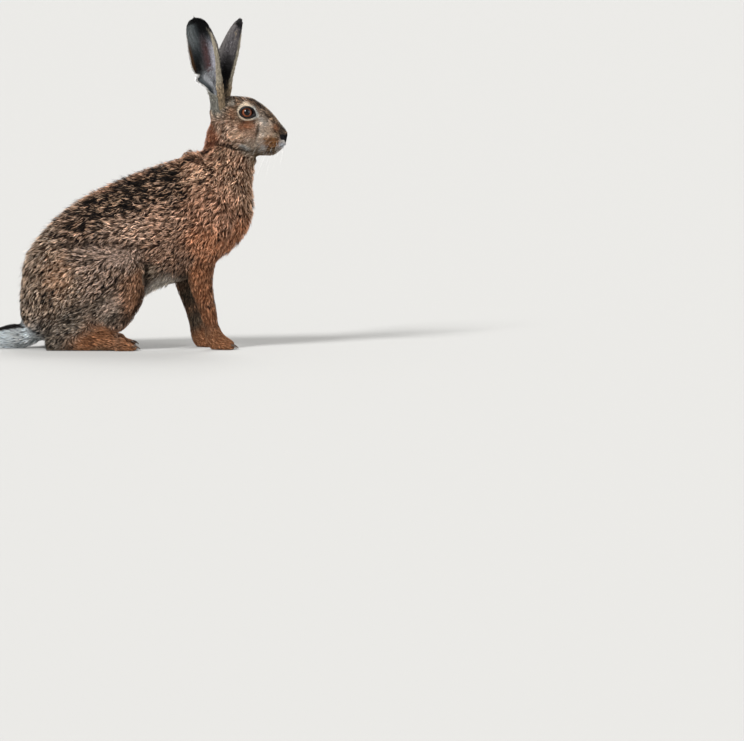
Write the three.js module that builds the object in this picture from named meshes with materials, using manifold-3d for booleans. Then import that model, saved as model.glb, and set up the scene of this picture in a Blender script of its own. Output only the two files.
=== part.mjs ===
// A brown hare sitting upright on its haunches, life size, as a still model.
// Millimetres. +X runs towards the nose, +Y towards the hare's left side and +Z up. The floor is z = 0.
// The outer surface is the lie of the coat, so a body half width includes about 15 mm of fur.

import * as THREE from "three";
import { mergeVertices } from "three/addons/utils/BufferGeometryUtils.js";
import Module from "manifold-3d";

const wasm = await Module();
wasm.setup();

// Driving dimensions
const GAP = 0.3; // clear space between neighbouring pieces
const RIGHT = -1;
const LEFT = 1;
const CROWN_HEIGHT = 430; // floor to the top of the head
const FORE_STANCE = 31; // a fore foot from the middle plane
const HIND_STANCE = 56; // a hind foot from the middle plane
const LEFT_FORE_BACK = 26; // how far the left fore foot stands behind the right one
const LEFT_HIND_BACK = 5; // and the left hind foot
const EYE_RADIUS = 11;
const EYE = [181.5, 21.5, 402.5]; // centre of the left eyeball; the right one mirrors it
const EAR_THICKNESS = 2.6;
const EAR_HALF_WIDTH = 26;
const FLOOR_DEPTH = 40; // how much of the floor is cut away under the feet
const FAR_OUT = 130; // beyond the body on either side

// The trunk and neck: each section runs from the line of the back to the line of the belly and throat.
const TRUNK = {
  tailRoot: { top: [-206, 66], under: [-172, 14], half: 36 },
  buttock: { top: [-206, 104], under: [-146, 8], half: 54 },
  rump: { top: [-198, 158], under: [-106, 8], half: 64, egg: -0.06 },
  croup: { top: [-172, 196], under: [-66, 22], half: 67, egg: -0.12 },
  hip: { top: [-139, 228], under: [-34, 52], half: 66, egg: -0.14 },
  loin: { top: [-98, 258], under: [-4, 78], half: 63, egg: -0.12 },
  flank: { top: [-56, 280], under: [20, 95], half: 60, egg: -0.1 },
  waist: { top: [-14, 298], under: [44, 105], half: 57, egg: -0.1 },
  ribs: { top: [28, 313], under: [70, 113], half: 56, egg: -0.08 },
  girth: { top: [60, 323], under: [98, 126], half: 55, egg: -0.06 },
  shoulders: { top: [86, 331], under: [130, 146], half: 52 },
  withers: { top: [100, 337], under: [160, 168], half: 48 },
  brisket: { top: [107, 347], under: [186, 202], half: 43 },
  neckBase: { top: [109, 358], under: [195, 238], half: 38 },
  midNeck: { top: [112, 370], under: [193, 276], half: 34 },
  throat: { top: [118, 384], under: [196, 304], half: 31 },
  gullet: { top: [130, 398], under: [200, 322], half: 28 },
};

// The head, from the nape to the nose. A negative egg puts the widest level below the middle.
const HEAD = {
  nape: { top: [119, 408], under: [134, 352], half: 25, egg: 0 },
  poll: { top: [131, 423], under: [146, 343], half: 30, egg: -0.1 },
  cheek: { top: [150, CROWN_HEIGHT], under: [162, 337], half: 33, egg: -0.22 },
  temple: { top: [168, CROWN_HEIGHT], under: [177, 333], half: 34, egg: -0.3 },
  brow: { top: [186, 428.5], under: [191, 330.5], half: 32, egg: -0.3 },
  inner: { top: [202, 420.5], under: [204, 328.5], half: 27.5, egg: -0.28 },
  bridge: { top: [217, 409], under: [215, 328], half: 23.5, egg: -0.2 },
  muzzle: { top: [230, 395], under: [225, 330], half: 20.5, egg: -0.15 },
  lip: { top: [240, 382], under: [233, 334], half: 18, egg: -0.05 },
  nose: { top: [247, 371], under: [240, 339], half: 14, egg: 0 },
};
const NOSE_DOME = 5;
// Swellings and hollows of the head: where on the left side, how far they reach and how high they rise.
const HEAD_BUMPS = {
  earRoot: { at: [131, 17, 414], reach: 13, rise: 5 },
  cheek: { at: [163, 32, 361], reach: 18, rise: 4 },
  brow: { at: [183, 24, 416], reach: 9, rise: 2.5 },
  tearHollow: { at: [204, 19, 388], reach: 12, rise: -2.2 },
  whiskerPad: { at: [229, 17, 350], reach: 11, rise: 4 },
  noseLeather: { at: [247, 5, 368], reach: 7, rise: 1.6 },
  chin: { at: [228, 3, 332], reach: 11, rise: 1.8 },
};

const TAIL = {
  root: { top: [-168, 52], under: [-166, 14], half: 15 },
  thick: { top: [-192, 46], under: [-190, 2], half: 19 },
  middle: { top: [-214, 43], under: [-213, -2], half: 21 },
  taper: { top: [-238, 38], under: [-237, -2], half: 19 },
  tip: { top: [-255, 29], under: [-254, 1], half: 13 },
};

// One fore leg from the shoulder blade to the toes: top is its front edge and under its back edge.
const FORE_LEG = {
  blade: { top: [98, 336], under: [70, 322], half: 9, y: 23 },
  shoulder: { top: [138, 288], under: [58, 258], half: 18, y: 34 },
  point: { top: [164, 228], under: [64, 202], half: 22, y: 37 },
  arm: { top: [152, 184], under: [68, 160], half: 22, y: 36 },
  elbow: { top: [130, 146], under: [77, 130], half: 19, y: 34 },
  forearm: { top: [125, 116], under: [82, 110], half: 16.5, y: 33 },
  shin: { top: [127, 90], under: [90, 88], half: 14, y: 32 },
  wrist: { top: [131, 64], under: [101, 62], half: 12, y: FORE_STANCE },
  pastern: { top: [134, 42], under: [108, 36], half: 11.5, y: FORE_STANCE },
  knuckle: { top: [141, 28], under: [113, 10], half: 13, y: FORE_STANCE },
  pad: { top: [149, 21], under: [127, -5], half: 14.5, y: FORE_STANCE },
  toes: { top: [158, 15], under: [148, -5], half: 14, y: FORE_STANCE },
};
const FORE_TOE = { length: 18, radius: 5.2, spread: 8.6, from: [140, 8.5] };

const THIGH = {
  seat: { top: [-172, 142], under: [-162, 62], half: 20, y: 42 },
  hip: { top: [-128, 168], under: [-136, 40], half: 27, y: 51 },
  ham: { top: [-84, 175], under: [-98, 40], half: 29, y: 53 },
  quad: { top: [-42, 176], under: [-60, 56], half: 28, y: 54 },
  fold: { top: [-10, 168], under: [-30, 82], half: 24, y: 53 },
  knee: { top: [7, 147], under: [-6, 100], half: 18, y: 52 },
};
const SHANK = {
  knee: { top: [-14, 136], under: [11, 112], half: 18, y: 53 },
  calf: { top: [-34, 112], under: [9, 88], half: 21, y: 55 },
  middle: { top: [-62, 94], under: [-6, 58], half: 20, y: 57 },
  tendon: { top: [-96, 74], under: [-32, 32], half: 18, y: 57 },
  ankle: { top: [-128, 54], under: [-72, 14], half: 16, y: HIND_STANCE },
  hock: { top: [-152, 36], under: [-116, 4], half: 13, y: HIND_STANCE },
};
const HIND_FOOT = {
  heel: { top: [-158, 24], under: [-156, -2], half: 11, y: HIND_STANCE },
  sole: { top: [-120, 31], under: [-120, -3], half: 13, y: HIND_STANCE },
  instep: { top: [-76, 28], under: [-76, -3], half: 14, y: HIND_STANCE },
  ball: { top: [-44, 25], under: [-44, -3], half: 16, y: HIND_STANCE },
  toes: { top: [-28, 21], under: [-28, -3], half: 16.5, y: HIND_STANCE },
};
const HIND_TOE = { length: 27, radius: 6.4, spread: 9.2, from: [-36, 9] };
const CLAW = { length: 9, radius: 1.7 };

// Each ear stands on the head at base and ends at tip. facing is where its cup opens, in degrees from +X.
const EARS = {
  right: { side: RIGHT, base: [133, -15, 412], tip: [93.5, -47, 563], facing: -93, bow: 1 },
  left: { side: LEFT, base: [138, 15, 412], tip: [170, 46, 558.5], facing: 21, bow: 8 },
};

// Side-view outlines along which the body is parted, clockwise or not, as [x, z].
const SEAMS = {
  tail: [[-320, -60], [-178, -60], [-179, 14], [-187, 32], [-207, 50], [-320, 62]],
  head: [
    [96, 400], [114, 388], [124, 366], [135, 349], [150, 341], [168, 335],
    [186, 326], [208, 316], [290, 300], [290, 470], [96, 470],
  ],
  neck: [[60, 352], [100, 338], [130, 316], [160, 286], [184, 262], [240, 244], [300, 340], [60, 480]],
  forePaw: [[86, -60], [190, -60], [190, 44], [133, 44], [106, 38], [86, 38]],
  foreArm: [[60, 39], [160, 45], [160, 126], [128, 122], [80, 106], [60, 100]],
  shoulder: [
    [60, 102], [80, 108], [128, 124], [146, 146], [166, 190], [170, 226], [162, 258],
    [142, 294], [116, 322], [98, 348], [60, 342], [54, 300], [54, 240], [56, 190], [56, 150],
  ],
  hindFoot: [[-190, -60], [40, -60], [40, 24], [-30, 24], [-80, 29], [-116, 33], [-140, 37], [-170, 40]],
  shank: [
    [-160, 20], [14, 20], [14, 120], [2, 117], [-28, 108], [-52, 98], [-95, 72], [-130, 57], [-160, 48],
  ],
  thigh: [
    [14, 106], [17, 124], [14, 146], [3, 164], [-18, 175], [-58, 178], [-96, 176],
    [-128, 169], [-152, 152], [-168, 128], [-174, 96], [-168, 44], [-60, 40], [0, 60],
  ],
};
const TRUNK_CORE = 30; // a thigh starts this far from the middle plane
const SHOULDER_CORE = 20; // and an upper arm this far

// Turns a closed three.js geometry into a solid whose faces point out.
function solidOf(geometry) {
  const bare = geometry.clone();
  bare.deleteAttribute("normal");
  bare.deleteAttribute("uv");
  const merged = mergeVertices(bare, 1e-4);
  const vertProperties = new Float32Array(merged.attributes.position.array);
  const corners = new Uint32Array(merged.index.array);
  const make = (triVerts) => new wasm.Manifold(new wasm.Mesh({ numProp: 3, vertProperties, triVerts }));
  const made = make(corners);
  if (made.volume() >= 0) return made;
  return make(corners.slice().reverse());
}

function geometryOf(solid) {
  const mesh = solid.getMesh();
  const geometry = new THREE.BufferGeometry();
  geometry.setAttribute("position", new THREE.BufferAttribute(mesh.vertProperties, 3));
  geometry.setIndex(new THREE.BufferAttribute(mesh.triVerts, 1));
  geometry.computeVertexNormals();
  return geometry;
}

// The largest closed surface of a solid, without loose scraps or sealed hollows.
function largest(solid) {
  return solid.decompose().reduce((best, piece) => (piece.volume() > best.volume() ? piece : best));
}

const joined = (solids) => solids.reduce((sum, next) => sum.add(next));

function closedGeometry(points, faces) {
  const geometry = new THREE.BufferGeometry();
  geometry.setAttribute("position", new THREE.Float32BufferAttribute(points, 3));
  geometry.setIndex(faces);
  return geometry;
}

// Quads between neighbouring rings of equal size, as triangles.
function bands(ringCount, ringSize) {
  const faces = [];
  for (let ring = 0; ring + 1 < ringCount; ring++) {
    for (let k = 0; k < ringSize; k++) {
      const a = ring * ringSize + k;
      const b = ring * ringSize + ((k + 1) % ringSize);
      faces.push(a, b, a + ringSize, b, b + ringSize, a + ringSize);
    }
  }
  return faces;
}

// How far a point of the skin is pushed out by bumps, which come in pairs on both sides.
function swelling(bumps, point) {
  return Object.values(bumps).reduce((sum, { at, reach, rise }) => {
    const near = (point.x - at[0]) ** 2 + (Math.abs(point.y) - at[1]) ** 2 + (point.z - at[2]) ** 2;
    return sum + rise * Math.exp(-near / reach ** 2);
  }, 0);
}

// A closed body through named sections. Each section is an egg between its top and under points.
// dome rounds the two ends, grow fattens the whole, and side and back place a leg.
function loft(sections, { rings, sides = 20, dome = [0, 0], grow = 0, side = LEFT, back = 0, bumps = {} }) {
  const rows = Object.values(sections);
  const place = ([x, z], y = 0) => new THREE.Vector3(x - back, side * y, z);
  const edge = (key) => new THREE.CatmullRomCurve3(rows.map((s) => place(s[key], s.y)));
  const top = edge("top");
  const under = edge("under");
  const size = new THREE.CatmullRomCurve3(rows.map((s) => new THREE.Vector3(s.half, s.egg ?? 0, 0)));
  const points = [];

  const addRing = (t, scale, push) => {
    const high = top.getPoint(t);
    const low = under.getPoint(t);
    const centre = high.clone().add(low).multiplyScalar(0.5).add(push);
    const reach = high.clone().sub(low).multiplyScalar(0.5);
    reach.setLength(reach.length() + grow).multiplyScalar(scale);
    const { x: half, y: egg } = size.getPoint(t);
    for (let k = 0; k < sides; k++) {
      const angle = (2 * Math.PI * k) / sides;
      const wide = (half + grow) * scale * Math.sin(angle) * (1 + egg * Math.cos(angle));
      const out = reach.clone().multiplyScalar(Math.cos(angle)).add(new THREE.Vector3(0, wide, 0));
      const p = centre.clone().add(out);
      p.addScaledVector(out.normalize(), swelling(bumps, p));
      points.push(p.x, p.y, p.z);
    }
  };
  const endWay = (t, sign) => {
    const middle = (s) => top.getPoint(s).add(under.getPoint(s));
    const step = 0.01;
    const inside = middle(t - sign * step);
    return middle(t).sub(inside).normalize();
  };
  const CAP = [0.88, 0.5].map(Math.asin); // angles of the rings that round an end
  const capRings = (t, sign, height) => {
    const way = endWay(t, sign);
    const angles = sign < 0 ? CAP : CAP.slice().reverse();
    for (const a of angles) addRing(t, Math.cos(a), way.clone().multiplyScalar(height * Math.sin(a)));
  };

  const heights = dome.map((h) => (h ? h + grow : 0));
  if (heights[0]) capRings(0, -1, heights[0]);
  for (let ring = 0; ring <= rings; ring++) addRing(ring / rings, 1, new THREE.Vector3());
  if (heights[1]) capRings(1, 1, heights[1]);

  const ringCount = points.length / 3 / sides;
  const faces = bands(ringCount, sides);
  [0, 1].forEach((end) => {
    const centre = top.getPoint(end).add(under.getPoint(end)).multiplyScalar(0.5);
    centre.addScaledVector(endWay(end, end ? 1 : -1), heights[end]);
    const pole = points.length / 3;
    points.push(centre.x, centre.y, centre.z);
    const start = end ? (ringCount - 1) * sides : 0;
    for (let k = 0; k < sides; k++) {
      const a = start + k;
      const b = start + ((k + 1) % sides);
      faces.push(...(end ? [a, b, pole] : [b, a, pole]));
    }
  });
  return closedGeometry(points, faces);
}

// An ellipsoid of three radii, turned by pitch degrees about the Y axis.
function ball(centre, radii, { pitch = 0, around = 14, rows = 8 } = {}) {
  const geometry = new THREE.SphereGeometry(1, around, rows);
  geometry.scale(...radii);
  geometry.rotateY(THREE.MathUtils.degToRad(pitch));
  geometry.translate(...centre);
  return solidOf(geometry);
}

const mirrored = (point, side) => [point[0], side * point[1], point[2]];

// The outline moved out by grow, with its corners kept sharp.
function moved(outline, grow) {
  const points = outline.map(([x, z]) => new THREE.Vector2(x, z));
  const turn = THREE.ShapeUtils.area(points) > 0 ? 1 : -1;
  return points.map((p, i) => {
    const before = p.clone().sub(points.at(i - 1)).normalize();
    const after = points[(i + 1) % points.length].clone().sub(p).normalize();
    const out = new THREE.Vector2(before.y + after.y, -before.x - after.x).multiplyScalar(turn);
    return p.clone().addScaledVector(out, grow / (1 + before.dot(after)));
  });
}

// A block over a side-view outline, from the depth near to the depth far.
function block(outline, near, far, grow = 0) {
  const [low, high] = [Math.min(near, far) - grow, Math.max(near, far) + grow];
  const shape = new THREE.Shape(moved(outline, grow));
  const geometry = new THREE.ExtrudeGeometry(shape, { depth: high - low, bevelEnabled: false });
  geometry.rotateX(Math.PI / 2);
  geometry.translate(0, high, 0);
  return solidOf(geometry);
}

// A row of toes with claws at the front of a paw. The middle toes reach furthest.
function toes({ length, radius, spread, from }, { y, side, back }) {
  const made = [];
  for (const place of [-1.5, -0.5, 0.5, 1.5]) {
    const reach = length * (1 - 0.16 * Math.abs(place));
    const x = from[0] - back;
    const depth = side * (y + place * spread);
    const toe = {
      root: { top: [x - 6, from[1] + radius], under: [x - 6, -3], half: radius },
      knuckle: { top: [x + reach * 0.5, from[1] + radius], under: [x + reach * 0.5, -3], half: radius },
      end: { top: [x + reach, from[1] + radius * 0.3], under: [x + reach, -3], half: radius * 0.82 },
    };
    const body = solidOf(loft(toe, { rings: 2, sides: 8, dome: [0, radius * 0.7] }));
    const claw = new THREE.ConeGeometry(CLAW.radius, CLAW.length, 5);
    claw.rotateZ(-Math.PI / 2 - 0.35);
    claw.translate(x + reach + radius * 0.7 + 1, 0, from[1] - radius * 0.35);
    made.push(body.add(solidOf(claw)).translate(0, depth, 0));
  }
  return joined(made);
}

// How far a left fore leg is set back at a height: fully below the elbow and not at all at the shoulder.
function setBack(side, z) {
  if (side === RIGHT) return 0;
  return LEFT_FORE_BACK * (1 - THREE.MathUtils.smoothstep(z, 120, 250));
}

function foreLeg(side) {
  const stepped = ([x, z]) => [x - setBack(side, z), z];
  const sections = Object.values(FORE_LEG).map((s) => {
    return { ...s, top: stepped(s.top), under: stepped(s.under) };
  });
  const leg = solidOf(loft(sections, { rings: 25, sides: 14, dome: [5, 4], side }));
  return leg.add(toes(FORE_TOE, { y: FORE_STANCE, side, back: setBack(side, 0) }));
}

function hindLeg(side) {
  const back = side === LEFT ? LEFT_HIND_BACK : 0;
  const thigh = solidOf(loft(THIGH, { rings: 10, sides: 16, dome: [10, 7], side, back }));
  const shank = solidOf(loft(SHANK, { rings: 9, sides: 14, dome: [4, 6], side, back }));
  const foot = solidOf(loft(HIND_FOOT, { rings: 6, sides: 12, dome: [4, 5], side, back }));
  return joined([thigh, shank, foot, toes(HIND_TOE, { y: HIND_STANCE, side, back })]);
}

// The head's rounded form, without its openings.
function headForm(grow = 0, { rings = 19, sides = 24 } = {}) {
  return solidOf(loft(HEAD, { rings, sides, dome: [6, NOSE_DOME], grow, bumps: HEAD_BUMPS }));
}

// A raised rim round the eye, longer than high, with a corner drawn out in front.
function eyelids(side) {
  const rim = new THREE.TorusGeometry(11, 2.5, 6, 16);
  rim.scale(1.16, 0.93, 1);
  rim.rotateX(-Math.PI / 2);
  rim.translate(...mirrored([EYE[0] + 1, 26.6, EYE[2]], side));
  const front = mirrored([EYE[0] + 13.5, 24.5, EYE[2] - 4.5], side);
  const corner = ball(front, [4, 2.6, 2.6], { pitch: 30, around: 8, rows: 5 });
  return solidOf(rim).add(corner);
}

// The slit of the mouth: a thin curved blade that goes in only LIP_DEPTH from the surface.
function mouthSlit() {
  const LIP_DEPTH = 3.2;
  const SLIT = 1.1;
  const LINE = [[252, 346.8], [243, 346.2], [233, 343.6], [223, 343], [215, 345.4]];
  const upper = LINE.map(([x, z]) => [x, z + SLIT / 2]);
  const lower = LINE.map(([x, z]) => [x, z - SLIT / 2]).reverse();
  const outline = [...upper, ...lower];
  return block(outline, -FAR_OUT, FAR_OUT).subtract(headForm(-LIP_DEPTH, { rings: 10, sides: 16 }));
}

function noseOpenings() {
  const slits = [RIGHT, LEFT].map((side) => {
    const slit = new THREE.SphereGeometry(1, 12, 8);
    slit.scale(2.0, 4.6, 1.7);
    slit.rotateX(side * 0.75);
    slit.translate(...mirrored([249.5, 6.4, 360.4], side));
    return solidOf(slit);
  });
  const cleft = new THREE.BoxGeometry(9, 1.1, 13);
  cleft.rotateY(0.25);
  cleft.translate(250.5, 0, 352.5);
  return joined([...slits, solidOf(cleft)]);
}

// A smooth curve through stops of [share of the length, value] that never overshoots them.
function profile(stops) {
  const last = stops.length - 1;
  const steps = stops.slice(1).map(([s, v], i) => (v - stops[i][1]) / (s - stops[i][0]));
  const slopes = stops.map((_, i) => {
    const [before, after] = [steps[Math.max(i - 1, 0)], steps[Math.min(i, last - 1)]];
    return before * after > 0 ? (2 * before * after) / (before + after) : 0;
  });
  return (t) => {
    const i = Math.min(last, Math.max(1, stops.findIndex(([s]) => s >= t)));
    const [[s0, v0], [s1, v1]] = [stops[i - 1], stops[i]];
    const x = THREE.MathUtils.clamp((t - s0) / (s1 - s0), 0, 1);
    const ends = v0 * (1 + 2 * x) * (1 - x) ** 2 + v1 * x * x * (3 - 2 * x);
    return ends + (s1 - s0) * x * (1 - x) * (slopes[i - 1] * (1 - x) - slopes[i] * x);
  };
}

// A cupped ear: a shell whose section is part of an ellipse, nearly closed at the base and open above.
function ear({ side, base, tip, facing, bow }) {
  const RINGS = 24;
  const ARC = 7;
  const foot = new THREE.Vector3(...base);
  const axis = new THREE.Vector3(...tip).sub(foot);
  const up = axis.clone().normalize();
  const angle = THREE.MathUtils.degToRad(facing);
  const open = new THREE.Vector3(Math.cos(angle), Math.sin(angle), 0);
  open.addScaledVector(up, -open.dot(up)).normalize();
  const medial = new THREE.Vector3().crossVectors(up, open).multiplyScalar(-side);

  const wide = EAR_HALF_WIDTH;
  const halfWidth = profile([
    [0, 12], [0.126, 12.7], [0.195, 13.6], [0.24, 15], [0.27, 17.4], [0.31, 20.2], [0.36, 22], [0.425, 24.2],
    [0.54, wide], [0.655, wide], [0.77, 24], [0.885, 20.7], [0.954, 16], [0.985, 11.5], [1, 6],
  ]);
  const depth = profile([[0, 11], [0.3, 15], [0.55, 17], [0.8, 12], [0.94, 7], [1, 3]]);
  const rolled = profile([
    [0, 172], [0.195, 172], [0.31, 152], [0.42, 142], [0.54, 136], [0.71, 132], [0.85, 114], [0.95, 98], [1, 84],
  ]);
  const lateral = profile([
    [0, 168], [0.15, 165], [0.19, 140], [0.23, 104], [0.33, 86], [0.38, 70], [0.43, 84], [0.66, 84], [1, 74],
  ]);
  const thickness = profile([[0, 10.5], [0.16, 5], [0.34, EAR_THICKNESS], [0.8, 2], [1, 1.2]]);
  const aside = profile([[0, 0], [0.2, -3.8], [0.32, 0], [0.44, 1], [0.7, -0.7], [1, 0]]);

  const points = [];
  for (let ring = 0; ring <= RINGS; ring++) {
    const t = 1 - (1 - ring / RINGS) ** 1.35; // closer together towards the round tip
    const centre = foot.clone().addScaledVector(axis, t);
    centre.addScaledVector(open, -bow * 4 * t * (1 - t));
    centre.addScaledVector(medial, -aside(t));
    const from = -THREE.MathUtils.degToRad(lateral(t));
    const to = THREE.MathUtils.degToRad(rolled(t));
    const addArc = (inset, backwards) => {
      for (let k = 0; k <= ARC; k++) {
        const a = THREE.MathUtils.lerp(from, to, (backwards ? ARC - k : k) / ARC);
        const p = centre.clone();
        p.addScaledVector(medial, (halfWidth(t) - inset) * Math.sin(a));
        p.addScaledVector(open, -(depth(t) - inset * 0.95) * Math.cos(a));
        points.push(p.x, p.y, p.z);
      }
    };
    addArc(0, false);
    addArc(Math.min(thickness(t), depth(t) * 0.8), true);
  }
  const size = 2 * (ARC + 1);
  const faces = bands(RINGS + 1, size);
  for (const end of [0, RINGS]) {
    for (let k = 0; k < ARC; k++) {
      const [a, b] = [end * size + k, end * size + k + 1];
      const [c, d] = [end * size + size - 1 - k, end * size + size - 2 - k];
      faces.push(...(end ? [a, b, c, b, d, c] : [b, a, c, d, b, c]));
    }
  }
  return solidOf(closedGeometry(points, faces));
}

// Builds the body whole, then parts it along the seams. Returns the named solids.
function partedBody() {
  const trunk = solidOf(loft(TRUNK, { rings: 30, sides: 24, dome: [8, 0] }));
  const tail = solidOf(loft(TAIL, { rings: 8, sides: 14, dome: [0, 9] }));
  const sides = [RIGHT, LEFT];
  const floor = block([[-400, -FLOOR_DEPTH], [400, -FLOOR_DEPTH], [400, 0], [-400, 0]], -FAR_OUT, FAR_OUT);
  let rest = joined([trunk, tail, headForm(), ...sides.map(foreLeg), ...sides.map(hindLeg)]).subtract(floor);
  const parts = new Map();
  const take = (name, outline, near, far) => {
    parts.set(name, largest(rest.intersect(block(outline, near, far))));
    rest = rest.subtract(block(outline, near, far, GAP));
  };
  take("tail", SEAMS.tail, -FAR_OUT, FAR_OUT);
  for (const side of sides) {
    const name = side === LEFT ? "left" : "right";
    const hind = side === LEFT ? LEFT_HIND_BACK : 0;
    const behind = (outline) => outline.map(([x, z]) => [x - hind, z]);
    const beside = (outline) => outline.map(([x, z]) => [x - setBack(side, z), z]);
    const out = side * FAR_OUT;
    take(`${name}_hind_foot`, behind(SEAMS.hindFoot), side * 36, out);
    take(`${name}_shank`, behind(SEAMS.shank), side * 34, out);
    take(`${name}_thigh`, behind(SEAMS.thigh), side * TRUNK_CORE, out);
    take(`${name}_fore_paw`, beside(SEAMS.forePaw), side * 6, out);
    take(`${name}_forearm`, beside(SEAMS.foreArm), side * 6, out);
    take(`${name}_upper_arm`, beside(SEAMS.shoulder), side * SHOULDER_CORE, out);
  }
  take("head", SEAMS.head, -FAR_OUT, FAR_OUT);
  take("neck", SEAMS.neck, -FAR_OUT, FAR_OUT);
  parts.set("torso", largest(rest));
  return parts;
}

function finishedHead(head) {
  let made = head;
  for (const side of [RIGHT, LEFT]) made = made.add(eyelids(side));
  for (const side of [RIGHT, LEFT]) {
    const socket = EYE_RADIUS + GAP;
    made = made.subtract(ball(mirrored(EYE, side), [socket, socket, socket], { around: 16, rows: 10 }));
  }
  return largest(made.subtract(mouthSlit()).subtract(noseOpenings()));
}

const COLOURS = {
  coat: new THREE.Color(0.36, 0.24, 0.15),
  leg: new THREE.Color(0.47, 0.28, 0.16),
  tail: new THREE.Color(0.7, 0.7, 0.7),
  ear: new THREE.Color(0.27, 0.22, 0.18),
  eye: new THREE.Color(0.35, 0.14, 0.03),
};
const finish = (color, roughness) => new THREE.MeshStandardMaterial({ color, roughness, metalness: 0 });

function materialFor(name) {
  if (name.endsWith("_eye")) return finish(COLOURS.eye, 0.1);
  if (name.endsWith("_ear")) return finish(COLOURS.ear, 0.85);
  if (name === "tail") return finish(COLOURS.tail, 0.9);
  if (/forearm|paw|shank|foot/.test(name)) return finish(COLOURS.leg, 0.9);
  return finish(COLOURS.coat, 0.9);
}

const solids = partedBody();
const clearOfHead = headForm(GAP);
solids.set("head", finishedHead(solids.get("head")));
for (const [name, shape] of Object.entries(EARS)) {
  solids.set(`${name}_ear`, largest(ear(shape).subtract(clearOfHead)));
}
for (const [name, side] of [["right", RIGHT], ["left", LEFT]]) {
  const radii = [EYE_RADIUS, EYE_RADIUS, EYE_RADIUS];
  solids.set(`${name}_eye`, ball(mirrored(EYE, side), radii, { around: 16, rows: 10 }));
}

const hare = new THREE.Group();
hare.name = "brown_hare";
for (const [name, solid] of solids) {
  const mesh = new THREE.Mesh(geometryOf(solid), materialFor(name));
  mesh.name = name;
  hare.add(mesh);
}

// The origin goes to the middle of the underside of the whole.
const bounds = new THREE.Box3().setFromObject(hare);
const middle = bounds.getCenter(new THREE.Vector3());
hare.position.set(-middle.x, -middle.y, -bounds.min.z);

export default hare;
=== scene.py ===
"""A brown hare sitting upright on its haunches, life size.

Skin, coat, ears, eyes, lids, whiskers and claws, in place of its solids. Places are given in millimetres, as
(x, y, z) with x towards the nose, y to the hare's left and z up from the floor, before the solids are centred
on their origin. Pairs are given for the left side and mirrored.
"""

import math
from contextlib import contextmanager

import bmesh
import bpy
import numpy as np
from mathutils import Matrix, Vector
from mathutils.bvhtree import BVHTree
from mathutils.kdtree import KDTree


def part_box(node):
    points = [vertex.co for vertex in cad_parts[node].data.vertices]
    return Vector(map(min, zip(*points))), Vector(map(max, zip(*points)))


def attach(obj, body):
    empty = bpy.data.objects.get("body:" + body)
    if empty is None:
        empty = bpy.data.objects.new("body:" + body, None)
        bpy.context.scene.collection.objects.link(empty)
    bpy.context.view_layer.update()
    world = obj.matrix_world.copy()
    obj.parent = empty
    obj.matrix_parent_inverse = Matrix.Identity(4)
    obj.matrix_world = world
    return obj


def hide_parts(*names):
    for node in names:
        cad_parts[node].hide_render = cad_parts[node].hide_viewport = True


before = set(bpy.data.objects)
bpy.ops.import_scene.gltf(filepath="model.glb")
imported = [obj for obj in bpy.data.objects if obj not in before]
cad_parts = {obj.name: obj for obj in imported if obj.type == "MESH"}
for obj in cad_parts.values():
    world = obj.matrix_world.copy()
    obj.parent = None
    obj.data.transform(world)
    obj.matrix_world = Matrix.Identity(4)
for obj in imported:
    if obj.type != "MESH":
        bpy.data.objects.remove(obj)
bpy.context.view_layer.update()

# ---------------------------------------------------------------- sizes
EYE = np.array([181.5, 21.5, 402.5])  # centre of the left eyeball
EYE_RADIUS = 11.0
LEFT_FORE_BACK, LEFT_HIND_BACK = 26.0, 5.0  # how much further back the left feet stand
GAP_CLOSER = 0.45  # how far each solid of the flesh grows before they are joined
SKIN_VOXEL = 2.6
SOLE_LEVEL = 1.2  # the lowest that the skin reaches
SOLE_COAT = 1.6  # the deepest coat under it
SOLE_TOP = 1.6  # below this the coat is thin
TUFTS_PER_PIECE = 18000  # of ten triangles each
FLOOR_CLEARANCE = 0.4
MOUTH_LINE = np.array([[252, 346.8], [243, 346.2], [233, 343.6], [223, 343.0], [214, 345.6]])
NOSTRIL = np.array([246.3, 5.6, 360.5])

# The black rim of the eye and the pale ring round it, seen from the side: how far each reaches from the
# middle of the eye, in the direction given in degrees from the nose upwards.
RIM_TURN = (-180, -168, -137, -90, -51, -27, -19, -10, 0, 26, 50, 88, 139, 170, 180)
RIM_REACH = (12.9, 12.1, 10.0, 8.9, 10.9, 14.0, 16.0, 15.9, 15.0, 13.8, 12.5, 11.6, 12.6, 13.6, 12.9)
RING_TURN = (-180, -137, -90, -28, 11, 60, 102, 140, 180)
RING_SHARE = (1.24, 1.36, 1.38, 1.34, 1.26, 1.26, 1.52, 1.4, 1.24)

# How far the skin of the orbit stands out from the middle of the eye, against the share of the rim.
ORBIT_RING = (0, 0.76, 0.84, 1.05, 1.3, 1.6, 2.1)
ORBIT_LEVEL = (-6, -6, 5.6, 6.2, 4.2, 1.4, -3.0)
SOCKET = 0.84  # the skin is sunk inside this share of the rim

PX = 1.7  # millimetres to one pixel of the picture, at the hare
FRAME_W, FRAME_H = 744, 741
ORIGIN_PX = (140, 348)  # where x = 0 on the floor shows in the picture
CAMERA_TILT = 4.5
CAMERA_AWAY = 16000.0
HARE_NEARER = 55.0  # how much nearer to the camera the hare is than the middle of the view
FLOOR_REACH = 90.0

rng = np.random.default_rng(20)

low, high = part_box("right_eye")
SHIFT = (np.array(low) + np.array(high)) / 2 - EYE * [1, -1, 1] / 1000


def to_metres(points):
    return np.asarray(points, float) / 1000 + SHIFT


def to_mm(points):
    return (np.asarray(points, float) - SHIFT) * 1000


# ---------------------------------------------------------------- colours
def linear(rgb):
    c = np.asarray(rgb, float) / 255
    return np.where(c <= 0.04045, c / 12.92, ((c + 0.055) / 1.055) ** 2.4)


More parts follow.
